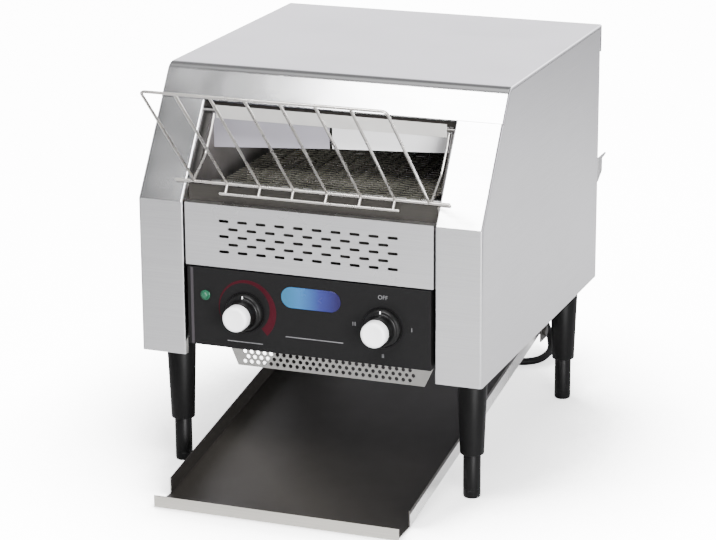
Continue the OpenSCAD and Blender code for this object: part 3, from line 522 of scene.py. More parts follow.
# ---------------- conveyor
# A belt of bent cross wires runs over two sprocket shafts in bronze bushes. A roller chain from
# the gear motor drives the rear shaft; both wheels and the shafts are turned steel.
idler_y, drive_y, axis_z = -118, 150, 279
belt_reach = 114
belt_wire_d = 1.7
belt_line_r = 27 - belt_wire_d / 2 - 0.1
chain_wheel_r, chain_teeth = 28, 28
chain_x, chain_pitch = 155, 2 * pi * chain_wheel_r / chain_teeth
motor_y, motor_z = 50, 200


def loop_path(x, wheel_a, wheel_b, steps=24):
    """Closed path at one x round two wheels, each given as (y, z, radius)."""
    (ya, za, ra), (yb, zb, rb) = wheel_a, wheel_b
    heading = atan2(zb - za, yb - ya)
    lean = acos((ra - rb) / hypot(yb - ya, zb - za))
    rear = [heading + lean + k * (2 * pi - 2 * lean) / steps for k in range(steps + 1)]
    front = [heading - lean + k * 2 * lean / steps for k in range(steps + 1)]
    path = [(x, *around(ya, za, ra, a)) for a in rear]
    return path + [(x, *around(yb, zb, rb, a)) for a in front]


def row_tree(name, follows_path):
    """Geometry Nodes that set a link at even steps along a path, or at each point given."""
    tree = bpy.data.node_groups.new(name, "GeometryNodeTree")
    kinds = {"Path": "Geometry", "Link": "Object", "Count": "Int", "Finish": "Material"}
    for label, kind in kinds.items():
        tree.interface.new_socket(label, in_out="INPUT", socket_type="NodeSocket" + kind)
    tree.interface.new_socket("Row", in_out="OUTPUT", socket_type="NodeSocketGeometry")
    asked = tree.nodes.new("NodeGroupInput").outputs
    spots, facing = asked["Path"], {}
    if follows_path:
        line = wired(tree, "GeometryNodeMeshToCurve", "Curve", Mesh=spots)
        spots = wired(tree, "GeometryNodeResampleCurve", "Curve", Curve=line, Count=asked["Count"])
        tangent = wired(tree, "GeometryNodeInputTangent", "Tangent")
        turn = wired(tree, "FunctionNodeAlignRotationToVector", "Rotation", Vector=tangent)
        turn.node.axis, turn.node.pivot_axis = "Y", "X"
        facing["Rotation"] = turn
    link = wired(tree, "GeometryNodeObjectInfo", "Geometry", Object=asked["Link"])
    row = wired(tree, "GeometryNodeInstanceOnPoints", "Instances", Points=spots, Instance=link,
        **facing)
    row = wired(tree, "GeometryNodeRealizeInstances", "Geometry", Geometry=row)
    row = wired(tree, "GeometryNodeSetMaterial", "Geometry", Geometry=row, Material=asked["Finish"])
    tree.links.new(row, tree.nodes.new("NodeGroupOutput").inputs["Row"])
    return tree


along_path = row_tree("links_along_a_path", True)
at_points = row_tree("links_at_points", False)


def whole_mesh(piece):
    """A plain mesh of what the piece's modifiers make."""
    bpy.context.view_layer.update()
    seen = piece.evaluated_get(bpy.context.evaluated_depsgraph_get())
    return bpy.data.meshes.new_from_object(seen)


def repeated(name, link_mesh, path, made, count=0):
    """A plain mesh of one link at even steps round a closed path, or at each point given."""
    link_piece = shaped(name + "_link", link_mesh)
    data = bpy.data.meshes.new(name + "_path")
    edges = [(k, (k + 1) % len(path)) for k in range(len(path))] if count else []
    data.from_pydata([Vector(p) * MM for p in path], edges, [])
    carrier = in_scene(name + "_carrier", data)
    row = carrier.modifiers.new("row", "NODES")
    row.node_group = along_path if count else at_points
    wanted = {"Link": link_piece, "Count": count, "Finish": made}
    for item in row.node_group.interface.items_tree:
        if item.name in wanted:
            row[item.identifier] = wanted[item.name]
    piece = in_scene(name, whole_mesh(carrier))
    for helper in (carrier, link_piece):
        bpy.data.objects.remove(helper)
    return piece


belt_steel = finish("belt_wire", (0.13, 0.125, 0.1), 0.65, 0.3)
tinted(belt_steel, grain(belt_steel, 22, detail=6), (0.3, (0.045, 0.042, 0.033)),
    (0.55, (0.075, 0.072, 0.057)), (0.8, (0.12, 0.115, 0.093)))
smudged(belt_steel, 90, 0.55, 0.75)
raised(belt_steel, 1500, 0.05)

belt_path = loop_path(0, (idler_y, axis_z, belt_line_r), (drive_y, axis_z, belt_line_r))
belt_wires, belt_cells = 88, 18
belt_pitch = (2 * (drive_y - idler_y) + 2 * pi * belt_line_r) / belt_wires
cell = 2 * belt_reach / belt_cells
wire_points = []
for k in range(belt_cells):
    step = (k % 2) * (belt_pitch + 0.3) - belt_pitch / 2
    lift = 0.35 if k % 2 else -0.35
    wire_points += [(-belt_reach + k * cell + 0.6, step, lift),
        (-belt_reach + (k + 1) * cell - 0.6, step, lift)]
belt_wire = bmesh.new()
tube(belt_wire, wire_points, belt_wire_d / 2 - 0.1, 6)
belt = repeated("wire_belt", belt_wire, belt_path, belt_steel, belt_wires)
fitted(belt, belt_steel, "conveyor_belt", slot="mesh_steel")
as_packed("belt_slides", "belt_rails", plain_steel, 0.3)

bronze = finish("bronze_bush", (0.45, 0.29, 0.12), 0.4, 1.0)
smudged(bronze, 120, 0.32, 0.5)
raised(bronze, 1300, 0.03)
as_packed("bush_set", "shaft_bushes", bronze, 0.3)

turned_steel = finish("turned_steel", 0.6, 0.25, 1.0)
turning = grain(turned_steel, 700, (1, 0.02, 0.02))
mottled(turned_steel, turning, 0.54, 0.64)
smudged(turned_steel, 40, 0.2, 0.36)
raised(turned_steel, turning, 0.01)
shaft_end = [(0, 0), (5.4, 0), (6, 0.6), (6, 3), (5.4, 3), (5.4, 4.1), (6, 4.1)]
shaft_over = 9
for name, y, right in (("idler", idler_y, oven_half), ("drive", drive_y, chain_x)):
    length = oven_half + right + 2 * shaft_over
    profile = shaft_end + [(r, length - along) for r, along in reversed(shaft_end)]
    turned(name + "_axle", profile, [(-oven_half - shaft_over, y, axis_z)], (1, 0, 0), 40,
        turned_steel, name + "_shaft")

wheel_steel = finish("wheel_steel", 0.22, 0.42, 1.0)
wheel_oil = grain(wheel_steel, 25, detail=5)
tinted(wheel_steel, wheel_oil, (0.3, (0.13, 0.12, 0.11)), (0.75, 0.3))
smudged(wheel_steel, wheel_oil, 0.3, 0.55)
raised(wheel_steel, 800, 0.03)
for name, node in (("idler_wheels", "idler_sprockets"), ("drive_wheels", "drive_sprockets"),
        ("big_chain_wheel", "chain_wheel"), ("motor_pinion", "motor_sprocket")):
    as_packed(name, node, wheel_steel)


def chain_link():
    """One cranked link: a roller on its pin and two side plates that widen towards the next."""
    drawn = bmesh.new()
    lathe(drawn, [(0, -2.9), (0.9, -2.9), (0.9, 2.9), (0, 2.9)], (0, 0, 0), (1, 0, 0), 8)
    lathe(drawn, [(0.9, -1.5), (1.7, -1.5), (1.7, 1.5), (0.9, 1.5)], (0, 0, 0), (1, 0, 0), 10)
    outline = [(-1.9, 0), (-1.3, 1.5), (0.5, 1.9), (chain_pitch - 1, 1.4), (chain_pitch + 1.5, 1.6),
        (chain_pitch + 2.1, 0), (chain_pitch + 1.5, -1.6), (chain_pitch - 1, -1.4), (0.5, -1.9),
        (-1.3, -1.5)]
    for hand in (-1, 1):
        near = [hand * (1.6 + 0.7 * min(max(y / chain_pitch, 0), 1)) for y, z in outline]
        skinned(drawn, [[(x + out, *spot) for x, spot in zip(near, outline)]
            for out in (0, hand * 0.6)])
    return drawn


chain_path = loop_path(chain_x, (motor_y, motor_z, 16.5), (drive_y, axis_z, 30.5))
chain_length = sum(dist(a, b) for a, b in zip(chain_path, chain_path[1:] + chain_path[:1]))
chain = repeated("roller_chain", chain_link(), chain_path, wheel_steel,
    round(chain_length / chain_pitch))
fitted(chain, wheel_steel, "drive_chain")

motor_paint = finish("motor_paint", (0.11, 0.13, 0.14), 0.45, 0.1)
mottled(motor_paint, 35, (0.09, 0.105, 0.115), (0.13, 0.15, 0.165))
raised(motor_paint, 500, 0.06)
as_packed("motor_and_gearbox", "gear_motor", motor_paint, 0.8)

# ---------------- controls
# A black powder-coated fascia carries the lamp, a speed control and a heat selector. Both knobs
# are moulded: a black skirt on the spindle with a pale cap pressed into it.
panel_y = -163
knob_z = 185
speed_x, selector_x = -67.5, 80.5
lamp_x, lamp_z = -111, 198.7

black_panel = finish("black_fascia", 0.006, 0.42, specular=0.12)
powder = grain(black_panel, 1300)
tinted(black_panel, powder, (0.3, (0.004, 0.004, 0.0041)), (0.75, (0.0082, 0.008, 0.0083)))
smudged(black_panel, 25, 0.36, 0.5)
raised(black_panel, powder, 0.035)
as_packed("control_fascia", "control_panel", black_panel, 0.5, slot="black_panel")

moulded_green = finish("moulded_green", (0.05, 0.12, 0.06), 0.4)
mottled(moulded_green, 60, (0.04, 0.1, 0.05), (0.06, 0.14, 0.07))
raised(moulded_green, 900, 0.02)
as_packed("speed_potentiometer", "speed_control", moulded_green, 0.4)
as_packed("rotary_switch", "selector_switch", ivory, 0.4)

knob_black = finish("knob_black", 0.003, 0.38, specular=0.2)
smudged(knob_black, 60, 0.3, 0.48)
raised(knob_black, 1300, 0.03)
knob_pale = finish("knob_pale", (0.96, 0.965, 0.97), 0.42)
mottled(knob_pale, 80, (0.95, 0.955, 0.96), (0.97, 0.975, 0.98))
raised(knob_pale, 900, 0.015)

skirt_profile = [(0, 16), (3.05, 16), (3.05, 3), (6, 3), (6, 0.6), (19.6, 0.6), (20.3, 1),
    (20.5, 2), (20.3, 5.4), (19.2, 7.2), (18.2, 8), (16.6, 8), (15.8, 8.4), (15.2, 9.4),
    (14.75, 11), (14.5, 17.8), (13.9, 18.8), (13.3, 19), (0, 19)]
cap_profile = [(0, 19), (13.1, 19), (13.25, 19.3), (13.15, 27.4), (12.9, 28.6), (12.2, 29.4),
    (11.2, 29.85), (10, 30), (9, 29.8), (4, 29.55), (0, 29.5)]
for name, x in (("speed", speed_x), ("selector", selector_x)):
    foot = (x, panel_y, knob_z)
    turned(name + "_skirt", skirt_profile, [foot], (0, -1, 0), 72, knob_black, name + "_knob")
    turned(name + "_knob_cap", cap_profile, [foot], (0, -1, 0), 72, knob_pale, name + "_cap")
    pointer = bmesh.new()
    tube(pointer, [(x, panel_y - 8.1, knob_z + 16.2), (x, panel_y - 7.6, knob_z + 18.4)], 0.7, 8)
    fitted(shaped(name + "_pointer", pointer), knob_pale, body=name + "_knob")

lamp_green = finish("lamp_green", (0.012, 0.075, 0.04), 0.25, specular=0.3)
smudged(lamp_green, 300, 0.15, 0.3)
raised(lamp_green, grain(lamp_green, 700, (1, 0.1, 1)), 0.1)
lens_profile = [(0, -16), (4, -16), (4, 0), (5, 0), (5.2, 0.4), (5.2, 1.9), (4.7, 2.2), (4.2, 2.2),
    (4.1, 2.6), (3.6, 3.7), (2.6, 4.6), (1.3, 5), (0, 5.1)]
turned("lamp_lens", lens_profile, [(lamp_x, panel_y, lamp_z)], (0, -1, 0), 40, lamp_green, "lamp")

# ---------------- print and badge
# Thin screen print on the fascia: a red arc that swells with the speed, plain marks round the
# selector and two rules. The pill-shaped badge is a blank domed plate.
print_t = 0.06
arc_x, arc_z, arc_r = -67, 187.4, 29.5
arc_start, arc_end, arc_steps = 200, -48, 48
arc_thin, arc_thick = 0.9, 9.5
mark_r, mark_size = 30.5, 6
marks_round = (("OFF", 90), ("I", 0), ("II", -90), ("III", 180))
rule_half, rules = 0.45, ((-24, 38, 163.5), (-88, -49, 152.5))
edge_highlight_place = (-127.6, -124.6, 145.2, 226.6)
badge_x, badge_z = 3.8, 205.5
badge_straight, badge_r = 21, 11


def inlay(mesh, left, right, low, high):
    """Adds a thin rectangle to the fascia's face: print, or the painted highlight along its left
    edge.
    """
    outline = ((left, low), (right, low), (right, high), (left, high))
    skinned(mesh, [[(x, y, z) for x, z in outline] for y in (panel_y - print_t, panel_y)])


red_print = finish("red_print", (0.028, 0.002, 0.005), 0.4, specular=0.1)
mottled(red_print, grain(red_print, 12, (1, 0.1, 1)), (0.022, 0.0015, 0.004),
    (0.036, 0.003, 0.007))
grey_print = finish("grey_print", (0.12, 0.12, 0.125), 0.5)
mottled(grey_print, 60, (0.09, 0.09, 0.095), (0.15, 0.15, 0.155))
fascia_edge_painted_highlight = finish("fascia_edge_painted_highlight", (0.03, 0.027, 0.03), 0.4, specular=0.3)
mottled(fascia_edge_painted_highlight, grain(fascia_edge_painted_highlight, 40, (1, 1, 0.2)), (0.024, 0.021, 0.024), (0.038, 0.034, 0.038))
for made in (red_print, grey_print, fascia_edge_painted_highlight):
    raised(made, 1300, 0.02)

arc = bmesh.new()
arc_rows = []
for k in range(arc_steps + 1):
    share = k / arc_steps
    angle = radians(arc_start + share * (arc_end - arc_start))
    half_width = (arc_thin + (arc_thick - arc_thin) * share ** 1.5) / 2
    corners = [(half_width, print_t), (-half_width, print_t), (-half_width, 0), (half_width, 0)]
    arc_rows.append([(arc_x + (arc_r + out) * cos(angle), panel_y - proud,
        arc_z + (arc_r + out) * sin(angle)) for out, proud in corners])
skinned(arc, arc_rows)
fitted(shaped("speed_arc", arc), red_print, body="toaster", slot="black_panel")

marks = bmesh.new()
for words, angle in marks_round:
    mark = in_scene("mark", given(bpy.data.curves.new("mark", "FONT"), body=words,
        size=mark_size * MM, extrude=print_t / 2 * MM, align_x="CENTER", align_y="CENTER"))
    outline = whole_mesh(mark)
    x, z = around(selector_x, knob_z, mark_r, radians(angle))
    spot = Matrix.Translation((x, panel_y - print_t / 2, z))
    outline.transform(Matrix.Scale(1 / MM, 4))
    outline.transform(spot @ Matrix.Rotation(pi / 2, 4, "X"))
    marks.from_mesh(outline)
    bpy.data.objects.remove(mark)
bmesh.ops.remove_doubles(marks, verts=marks.verts, dist=1e-3)
for left, right, z in rules:
    inlay(marks, left, right, z - rule_half, z + rule_half)
fitted(shaped("fascia_marks", marks), grey_print, body="toaster", slot="black_panel")

# A pale line along the fascia's left edge is a painted highlight of its folded edge.
edge_highlight_strip = bmesh.new()
inlay(edge_highlight_strip, *edge_highlight_place)
fitted(shaped("fascia_edge_line", edge_highlight_strip), fascia_edge_painted_highlight, body="toaster", slot="black_panel")


def pill(grow, steps=16):
    """Outline of the badge, grown or shrunk by a distance."""
    points = []
    for hand in (1, -1):
        angles = [radians(-90 * hand + 180 * k / steps) for k in range(steps + 1)]
        middle = badge_x + hand * badge_straight
        points += [around(middle, badge_z, badge_r + grow, angle) for angle in angles]
    return points


def along_axis(made, axis, low, high):
    """0 to 1 along an axis of the piece's own coordinates, between two places in metres."""
    place = wired(made, "TexCoord", "Object")
    spot = wired(made, "SeparateXYZ", axis, place)
    return wired(made, "MapRange", "Result", Value=spot, From_Min=low, From_Max=high)


badge_blue = finish("badge_blue", (0.03, 0.08, 0.2), 0.3, specular=0.2)
badge_end = badge_straight + badge_r
badge_span = along_axis(badge_blue, "X", (badge_x - badge_end) * MM, (badge_x + badge_end) * MM)
tinted(badge_blue, badge_span, (0.04, (0.02, 0.095, 0.17)), (0.3, (0.024, 0.105, 0.24)),
    (0.65, (0.022, 0.028, 0.13)), (0.95, (0.012, 0.009, 0.05)))
smudged(badge_blue, 90, 0.16, 0.3)
badge_steps = ((0, 0), (0, 0.55), (-0.3, 0.85), (-1.2, 1.0), (-2.0, 0.75), (-2.6, 0.75), (-5, 0.92),
    (-8, 0.98))
badge = bmesh.new()
skinned(badge, [[(x, panel_y - out, z) for x, z in pill(grow)] for grow, out in badge_steps])
fitted(shaped("blank_badge", badge), badge_blue, "badge_plate")

# ---------------- front panels
# The slotted panel under the feed opening and the guard with round holes under the fascia are
# punched sheet. A dark folded lip closes the gap between the panel and the belt.
sheet_t = 1.2
screen_y, screen_low, screen_high = -102.2, 105, 146
screen_foot, screen_head, screen_return = 103, 121, 14
hole_pitch, row_step, hole_r, hole_margin = 7.3, 5.4, 2.3, 4.9


def walled(piece, thickness):
    """Gives a skin its sheet thickness, inward from the outer face, and keeps its flats flat."""
    wall = given(piece.modifiers.new("sheet", "SOLIDIFY"), thickness=thickness * MM, offset=-1,
        use_even_offset=True)
    piece.data = whole_mesh(piece)
    piece.modifiers.remove(wall)
    piece.data.set_sharp_from_angle(angle=radians(22))
    given(piece.modifiers.new("flat_faces", "WEIGHTED_NORMAL"), keep_sharp=True)
    return piece


brushed_casing = sheet_steel("brushed_casing", (0.62, 0.62, 0.63), 0.29, "x")
as_packed("slotted_panel", "front_vent_panel", brushed_casing)
as_packed("folded_lip", "feed_lip", dark_steel, 0.3)

screen = bmesh.new()


def closed_line(points):
    """A ring of edges through (x, z) points at the front of the screen."""
    ring = [screen.verts.new((x, screen_y, z)) for x, z in points]
    return [screen.edges.new((ring[k - 1], ring[k])) for k in range(len(ring))]


screen_lines = closed_line([(-screen_head, screen_high), (-screen_foot, screen_low),
    (screen_foot, screen_low), (screen_head, screen_high)])
for row in range(4):
    for column in range(-13, 13):
        x = (column + 0.5 * (row % 2)) * hole_pitch - 0.5
        z = screen_low + hole_margin + row * row_step
        screen_lines += closed_line([around(x, z, hole_r, k * pi / 4) for k in range(8)])
bmesh.ops.triangle_fill(screen, use_beauty=True, use_dissolve=False, edges=screen_lines,
    normal=(0, -1, 0))
for face in screen.faces:
    face.normal_update()
    if face.normal.y > 0:
        face.normal_flip()
left_top, right_top = screen_lines[0].verts[1], screen_lines[0].verts[0]
behind = [screen.verts.new(v.co + Vector((0, screen_return, 0))) for v in (left_top, right_top)]
screen.faces.new((left_top, right_top, behind[1], behind[0]))
screen_steel = sheet_steel("screen_steel", (0.36, 0.356, 0.34), 0.42, "x")
exit_screen = walled(shaped("exit_screen", screen, crease=22), sheet_t)
fitted(exit_screen, screen_steel, "exit_guard", slot="plain_steel")

# ---------------- casing
# Two side covers and a top cover are folded from brushed stainless sheet and screwed together at
# the back. Each side cover is one sheet: side, front column, sloping column and rear flange.
front_y, rear_y, side_x = -163, 245, 184
skirt_z, slope_foot_z, seam_z, top_z = 132, 294, 386, 418
slope_run, slope_bend = 83, 14
slope_tan = slope_run / (top_z - slope_foot_z)
column_x, column_edge = 135, 3
top_edge, top_turn_down = 2, 3.2
lip_out, lip_drop = 4.5, 30
seam_gap = 0.4
lap = 3.6
flange_x = 166


def slope_y(z):
    """How far back the sloping face is at a height."""
    return front_y + (z - slope_foot_z) * slope_tan


def fold_line(corners, depth, steps=8):
    """A path through (y, z, bend radius) corners, moved inward, to its right, by a depth."""
    spots = [Vector(c[:2]) for c in corners]
    moved = []
    for k, spot in enumerate(spots):
        run = spots[max(k - 1, 0):k + 2]
        ways = [(b - a).normalized() for a, b in zip(run, run[1:])]
        inward = [Vector((way.y, -way.x)) for way in ways]
        mitre = sum(inward, Vector((0, 0))).normalized()
        moved.append(spot + mitre * (depth / mitre.dot(inward[0])))
    line = []
    for k, corner in enumerate(corners):
        if corner[2] == 0 or k in (0, len(corners) - 1):
            line.append(moved[k])
            continue
        bend = max(corner[2] - depth, 0)
        before = (moved[k] - moved[k - 1]).normalized()
        after = (moved[k + 1] - moved[k]).normalized()
        turn = abs(before.angle_signed(after))
        reach = bend * tan(turn / 2)
        middle = moved[k] - before * reach + Vector((before.y, -before.x)) * bend
        spoke = moved[k] - before * reach - middle
        for step in range(steps + 1):
            line.append(middle + Matrix.Rotation(-turn * step / steps, 2) @ spoke)
    return line


def round_bend(x0, d0, x1, d1, steps=6):
    """A quarter bend from (x0, d0) to (x1, d1), level with the face at whichever is outermost."""
    angles = [pi / 2 * k / steps for k in range(steps + 1)]
    shares = [(sin(a), 1 - cos(a)) for a in angles]
    if d0 > d1:
        shares = [(slow, fast) for fast, slow in shares]
    return [(x0 + (x1 - x0) * u, d0 + (d1 - d0) * v) for u, v in shares]


def folded(mesh, corners, section):
    """Sweeps a section of (x, depth) points, left to right, along a path seen from the right."""
    rows = [[mesh.verts.new((x, p.x, p.y)) for p in fold_line(corners, depth)]
        for x, depth in section]
    for left, right in zip(rows, rows[1:]):
        for k in range(len(left) - 1):
            mesh.faces.new((left[k], right[k], right[k + 1], left[k + 1]))
    return rows


brow_bend = (front_y + slope_run, top_z, slope_bend)
top_path = [(slope_y(seam_z + seam_gap), seam_z + seam_gap, 0), brow_bend,
    (rear_y + lip_out, top_z, 2.5), (rear_y + lip_out, top_z - lip_drop, 0)]
top_section = [(-side_x, top_turn_down)] + round_bend(-side_x, top_edge, -side_x + top_edge, 0)
top_section += [(x, 0) for x in (-120, -60, 0, 60, 120)]
top_section += round_bend(side_x - top_edge, 0, side_x, top_edge) + [(side_x, top_turn_down)]
top_skin = bmesh.new()
folded(top_skin, top_path, top_section)
top_casing = sheet_steel("top_casing", (0.62, 0.62, 0.63), 0.15, "x")
top_cover = walled(shaped("folded_top", top_skin, crease=22), sheet_t)
fitted(top_cover, top_casing, "top_cover", slot="brushed_casing")

side_path = [(front_y, skirt_z, 0), (front_y, slope_foot_z, 0), (slope_y(seam_z), seam_z, 0)]
column_section = [(column_x, 7)] + round_bend(column_x, 2, column_x + 2, 0) + [(150, 0), (165, 0)]
column_section += round_bend(side_x - column_edge, 0, side_x, column_edge) + [(side_x, 8)]
brow_path = [(slope_y(seam_z), seam_z, 0), brow_bend, (rear_y, top_z, 0)]
right_skin = bmesh.new()
point = right_skin.verts.new
column_rows = folded(right_skin, side_path, column_section)
panel_side = [point((side_x, rear_y - 3, z)) for z in (skirt_z, top_z - lap)]
rear_low, rear_high = panel_side[:1], panel_side[1:]
panel_side += [point((side_x, p.x, p.y)) for p in reversed(fold_line(brow_path, lap)[:-1])]
panel_side += list(reversed(column_rows[-1]))
right_skin.faces.new(panel_side)
for y, depth in round_bend(rear_y - 3, 0, rear_y - 0.1, 3, 4)[1:]:
    rear_low.append(point((side_x - depth, y, skirt_z)))
    rear_high.append(point((side_x - depth, y, top_z - lap)))
rear_low.append(point((flange_x, rear_y - 0.1, skirt_z + 20)))
rear_high.append(point((flange_x, rear_y - 0.1, top_z - 8)))
for k in range(len(rear_low) - 1):
    right_skin.faces.new((rear_low[k], rear_low[k + 1], rear_high[k + 1], rear_high[k]))
left_skin = right_skin.copy()
bmesh.ops.scale(left_skin, vec=(-1, 1, 1), verts=left_skin.verts)
bmesh.ops.reverse_faces(left_skin, faces=left_skin.faces)
# The left cover takes a slightly darker copy of the right cover's steel: painted shade on the side
# away from the light.
right_sheet = sheet_steel("side_casing", (0.61, 0.61, 0.62), 0.17, "xy")
left_shaded_sheet = sheet_steel("left_casing_painted_shade", (0.57, 0.57, 0.58), 0.17, "xy")
for side, skin, sheet in (("right", right_skin, right_sheet), ("left", left_skin, left_shaded_sheet)):
    cover = walled(shaped("folded_side_" + side, skin, crease=22), sheet_t)
    fitted(cover, sheet, side + "_side_cover", slot="brushed_casing")

as_packed("slotted_back", "rear_panel", plain_steel)
as_packed("wall_spacers", "rear_spacers", plain_steel, 0.4)

screw_profile = [(0, -5), (1.9, -5), (1.9, 0), (3.5, 0), (3.5, 0.5), (3.2, 1.2), (2.5, 1.75),
    (1.6, 2), (1.2, 1.9), (0.6, 1), (0, 0.9)]
screw_spots = [(x, rear_y, z) for x in (-174, 174) for z in (170, 225, 350)]
screw = bmesh.new()
lathe(screw, screw_profile, (0, 0, 0), (0, 1, 0), 24)
screws = repeated("back_screws", screw, screw_spots, turned_steel)
fitted(screws, turned_steel, "rear_screws")

# ---------------- feed rack
# A grille of chromed wire hangs on two studs inside the columns by its bent hooks, and carries
# the bread down to the belt. The wires are welded to the rods where they cross.
rack_low, rack_high = (-152.08, 314), (-273.25, 433)
stop_rod, stop_half = (-158, 305), 95.5
rod_half, rod_r = 146, 1.75
wire_half, wire_pitch, wire_r = 125.3, 35.8, 1.5
hook_x = 127
hook_bends = [rack_low, (-121, 334), (-105, 356), (-97, 371)]


def rounded(points, bend, steps=6):
    """The points with every inner corner turned into an arc of a bend radius."""
    points = [Vector(p) for p in points]
    path = [points[0]]
    for before, corner, after in zip(points, points[1:], points[2:]):
        way_in, way_out = (before - corner).normalized(), (after - corner).normalized()
        half = way_in.angle(way_out) / 2
        reach = bend / tan(half)
        start, end = corner + way_in * reach, corner + way_out * reach
        middle = corner + (way_in + way_out).normalized() * bend / sin(half)
        for k in range(steps + 1):
            spoke = (start - middle).lerp(end - middle, k / steps)
            path.append(middle + spoke.normalized() * bend)
    return path + [points[-1]]


rack_wire = finish("rack_wire", (0.58, 0.56, 0.53), 0.3, 1.0)
smudged(rack_wire, 60, 0.22, 0.4)
mottled(rack_wire, 25, (0.5, 0.48, 0.45), (0.66, 0.64, 0.61))
raised(rack_wire, 900, 0.02)

rack = bmesh.new()
tube(rack, [(-rod_half, *rack_low), (rod_half, *rack_low)], rod_r, 16)
rack_rim = [(-wire_half, *rack_low), (-wire_half, *rack_high), (wire_half, *rack_high),
    (wire_half, *rack_low)]
tube(rack, rounded(rack_rim, 5), wire_r)
tube(rack, [(-stop_half, *stop_rod), (stop_half, *stop_rod)], wire_r)
for k in range(1, 7):
    x = -wire_half + k * wire_pitch
    bent = [(x, *rack_high), (x, *rack_low), (x, *stop_rod)]
    tube(rack, rounded(bent, 3) if abs(x) < stop_half else bent[:2], wire_r)
fitted(shaped("wire_grille", rack), rack_wire, "feed_rack")
hooks = bmesh.new()
for x in (-hook_x, hook_x):
    tube(hooks, rounded([(x, *bend) for bend in hook_bends], 10), wire_r)
fitted(shaped("wire_hooks", hooks), rack_wire, "rack_hooks")
as_packed("hook_studs", "rack_studs", wheel_steel, 0.2)

# ---------------- toast tray
# The tray is folded from one sheet: a front lip that stands on the counter,
# a sloping floor between two side walls, and a curl that hooks over a rod under the base.
wall_half, shade_band, lip_y = 130, 4.2, -254
wall_low, wall_high = Vector((0, -221, 18)) * MM, Vector((0, 205, 87)) * MM
wall_way = (wall_high - wall_low).normalized()
wall_up = Vector((0, -wall_way.z, wall_way.y))

# The one sheet is drawn as copies of its steel for light and shade. The floor is nearly black,
# palest towards the front left and darker towards the back and right: painted light and painted
# shade under the body.
tray_steel = sheet_steel("tray_steel", (0.04, 0.036, 0.032), 0.42, "y", 0.5)
tray_light_place = wired(tray_steel, "TexCoord", "Object")
tray_light_across = wired(tray_steel, "VectorMath", "Value", tray_light_place, (3.3, 3.3, 0),
    operation="DOT_PRODUCT")
tray_light_and_shade = wired(tray_steel, "Math", "Value", tray_light_across, 1.06, operation="ADD")
tinted(tray_steel, tray_light_and_shade, (0.05, (0.031, 0.028, 0.0245)), (0.37, (0.05, 0.0455, 0.04)),
    (0.66, (0.017, 0.015, 0.0125)), (0.82, (0.008, 0.007, 0.0055)))
tray_shade_dark = sheet_steel("tray_wall_painted_shade", (0.02, 0.018, 0.016), 0.45, "y", 0.5)
tray_lip = sheet_steel("tray_lip_steel", (0.62, 0.6, 0.55), 0.38, "x")
tray_outside_painted_light = sheet_steel("tray_outside_painted_light", (0.95, 0.945, 0.935), 0.26, "x")


def on_wall(spot):
    """Whether a place in metres is out at one of the tray's side walls."""
    return abs(spot.x) > (wall_half - 2) * MM


# A band along the top of the side walls' outer faces is cut off and takes painted shade, the shade
# under the skirt. The walls' inner faces take painted shade too, and the rest of the outside a
# near-white copy, a painted reflection of the white floor.
tray_mesh = cad_mesh("toast_tray")
sides = [face for face in tray_mesh.faces
    if abs(face.normal.x) > 0.7 and on_wall(face.calc_center_median())]
side_parts = list({part for face in sides for part in (*face.verts, *face.edges)}) + sides
bmesh.ops.bisect_plane(tray_mesh, geom=side_parts, dist=1e-6,
    plane_co=wall_low - wall_up * shade_band * MM, plane_no=wall_up)
tray = fitted(shaped("folded_tray", tray_mesh, 1.0), tray_steel, "toast_tray")
for made in (tray_outside_painted_light, tray_shade_dark, tray_lip):
    tray.data.materials.append(made)
for face in tray.data.polygons:
    looks_in = face.normal.x * face.center.x < -0.05
    looks_up = face.normal.z > 0.7 and abs(face.center.x) < 0.1 or face.normal.y > 0.7
    in_shade_band = on_wall(face.center) and (face.center - wall_low).dot(wall_up) > -shade_band * MM
    on_lip = face.center.y < lip_y * MM and face.normal.z < 0.7
    face.material_index = 3 if on_lip else 2 if looks_in or in_shade_band else 0 if looks_up else 1
as_packed("hanging_rod", "tray_rod", shade_and_rod_steel, 0.3, slot="dark_steel")
as_packed("rod_brackets", "tray_brackets", shade_and_rod_steel, 0.2, slot="dark_steel")

# ---------------- studio
# A plain white floor in an even, soft room light that is brightest low down and behind, with
# three softboxes: high in front, low in front to the right, and behind. The floor returns the
# light, and the glowing sheet on it is all that the camera sees of it.
sheet_glow, shaded_glow = 13, 1.5
studio_white = finish("studio_white", 0.78, 0.9)
tinted(studio_white, along_axis(studio_white, "Y", -0.6, 0.6), (0, 0.62), (1, (0.86, 0.86, 0.87)))
sheet_white = finish("sheet_white", 0.9, 0.9, Emission_Color=(1, 1, 1, 1),
    Emission_Strength=sheet_glow)
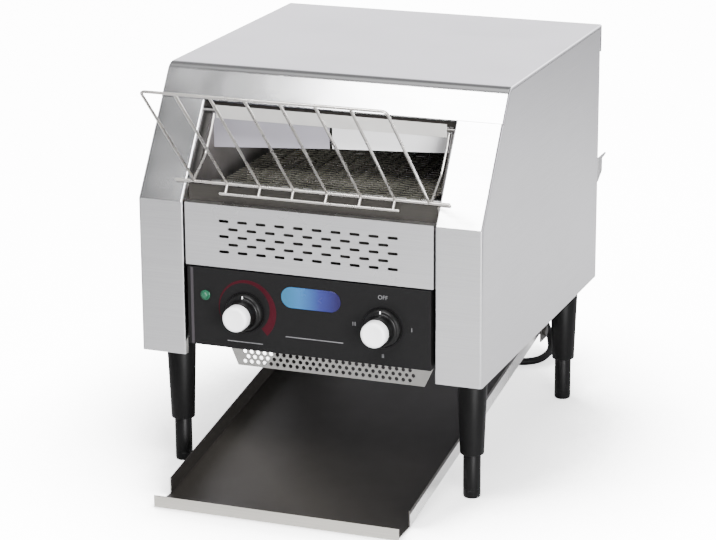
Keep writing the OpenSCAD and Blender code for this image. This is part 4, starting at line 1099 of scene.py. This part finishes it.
# Ambient occlusion dims the sheet's glow under and beside the toaster: a painted shadow.
shade = wired(sheet_white, "AmbientOcclusion", "AO", Distance=0.3)
fed(sheet_white, "Emission Strength", wired(sheet_white, "MapRange", "Result", Value=shade,
    From_Min=0.65, From_Max=0.975, To_Min=shaded_glow, To_Max=sheet_glow))
for name, made, level in (("studio_floor", studio_white, -0.0006),
        ("studio_sheet", sheet_white, -0.0002)):
    plane = bmesh.new()
    bmesh.ops.create_grid(plane, x_segments=1, y_segments=1, size=8,
        matrix=Matrix.Translation((0, 0, level)))
    floor = shaped(name, plane, 1.0)
    floor.data.materials.append(made)
    floor.visible_camera = made == sheet_white
    if made == sheet_white:
        given(floor, visible_diffuse=False, visible_glossy=False, visible_transmission=False,
            visible_shadow=False)

room = bpy.data.worlds.new("studio_room")
room.use_nodes = True
bpy.context.scene.world = room
room_levels = [(0.0, (0.97, 0.95, 1.0)), (0.32, (0.97, 0.95, 1.0)), (0.5, (0.34, 0.335, 0.35)),
    (0.66, 0.15), (0.88, 0.15), (0.97, 0.75), (1.0, 0.8)]
room_place = wired(room, "TexCoord", "Generated")
room_height = wired(room, "SeparateXYZ", "Z", room_place)
room_side = wired(room, "VectorMath", "Value", room_place, (0.35, 0.94, 0), operation="DOT_PRODUCT")
room_share = wired(room, "MapRange", "Result", Value=room_side, From_Min=-1, To_Min=0.95,
    To_Max=2.7)
background = room.node_tree.nodes["Background"]
room.node_tree.links.new(graded(room, room_height, room_levels), background.inputs["Color"])
room.node_tree.links.new(room_share, background.inputs["Strength"])


def softbox(name, place, aim, width, height, power):
    """A rectangular soft light that looks at a point."""
    turn = (Vector(aim) - Vector(place)).to_track_quat("-Z", "Y")
    data = given(bpy.data.lights.new(name, "AREA"), shape="RECTANGLE", size=width, size_y=height,
        energy=power)
    given(in_scene(name, data), visible_camera=False,
        matrix_world=Matrix.Translation(place) @ turn.to_matrix().to_4x4())


softbox("high_softbox", (0.02, -0.96, 1.45), (0.05, -0.1, 0.33), 1.07, 0.5, 39.5)
softbox("front_softbox", (1.5, -1.9, 0.55), (0, -0.1, 0.25), 0.9, 0.7, 110)
softbox("rear_softbox", (0.6, 1.1, 0.9), (0.5, 0.85, 0), 0.9, 0.9, 6)
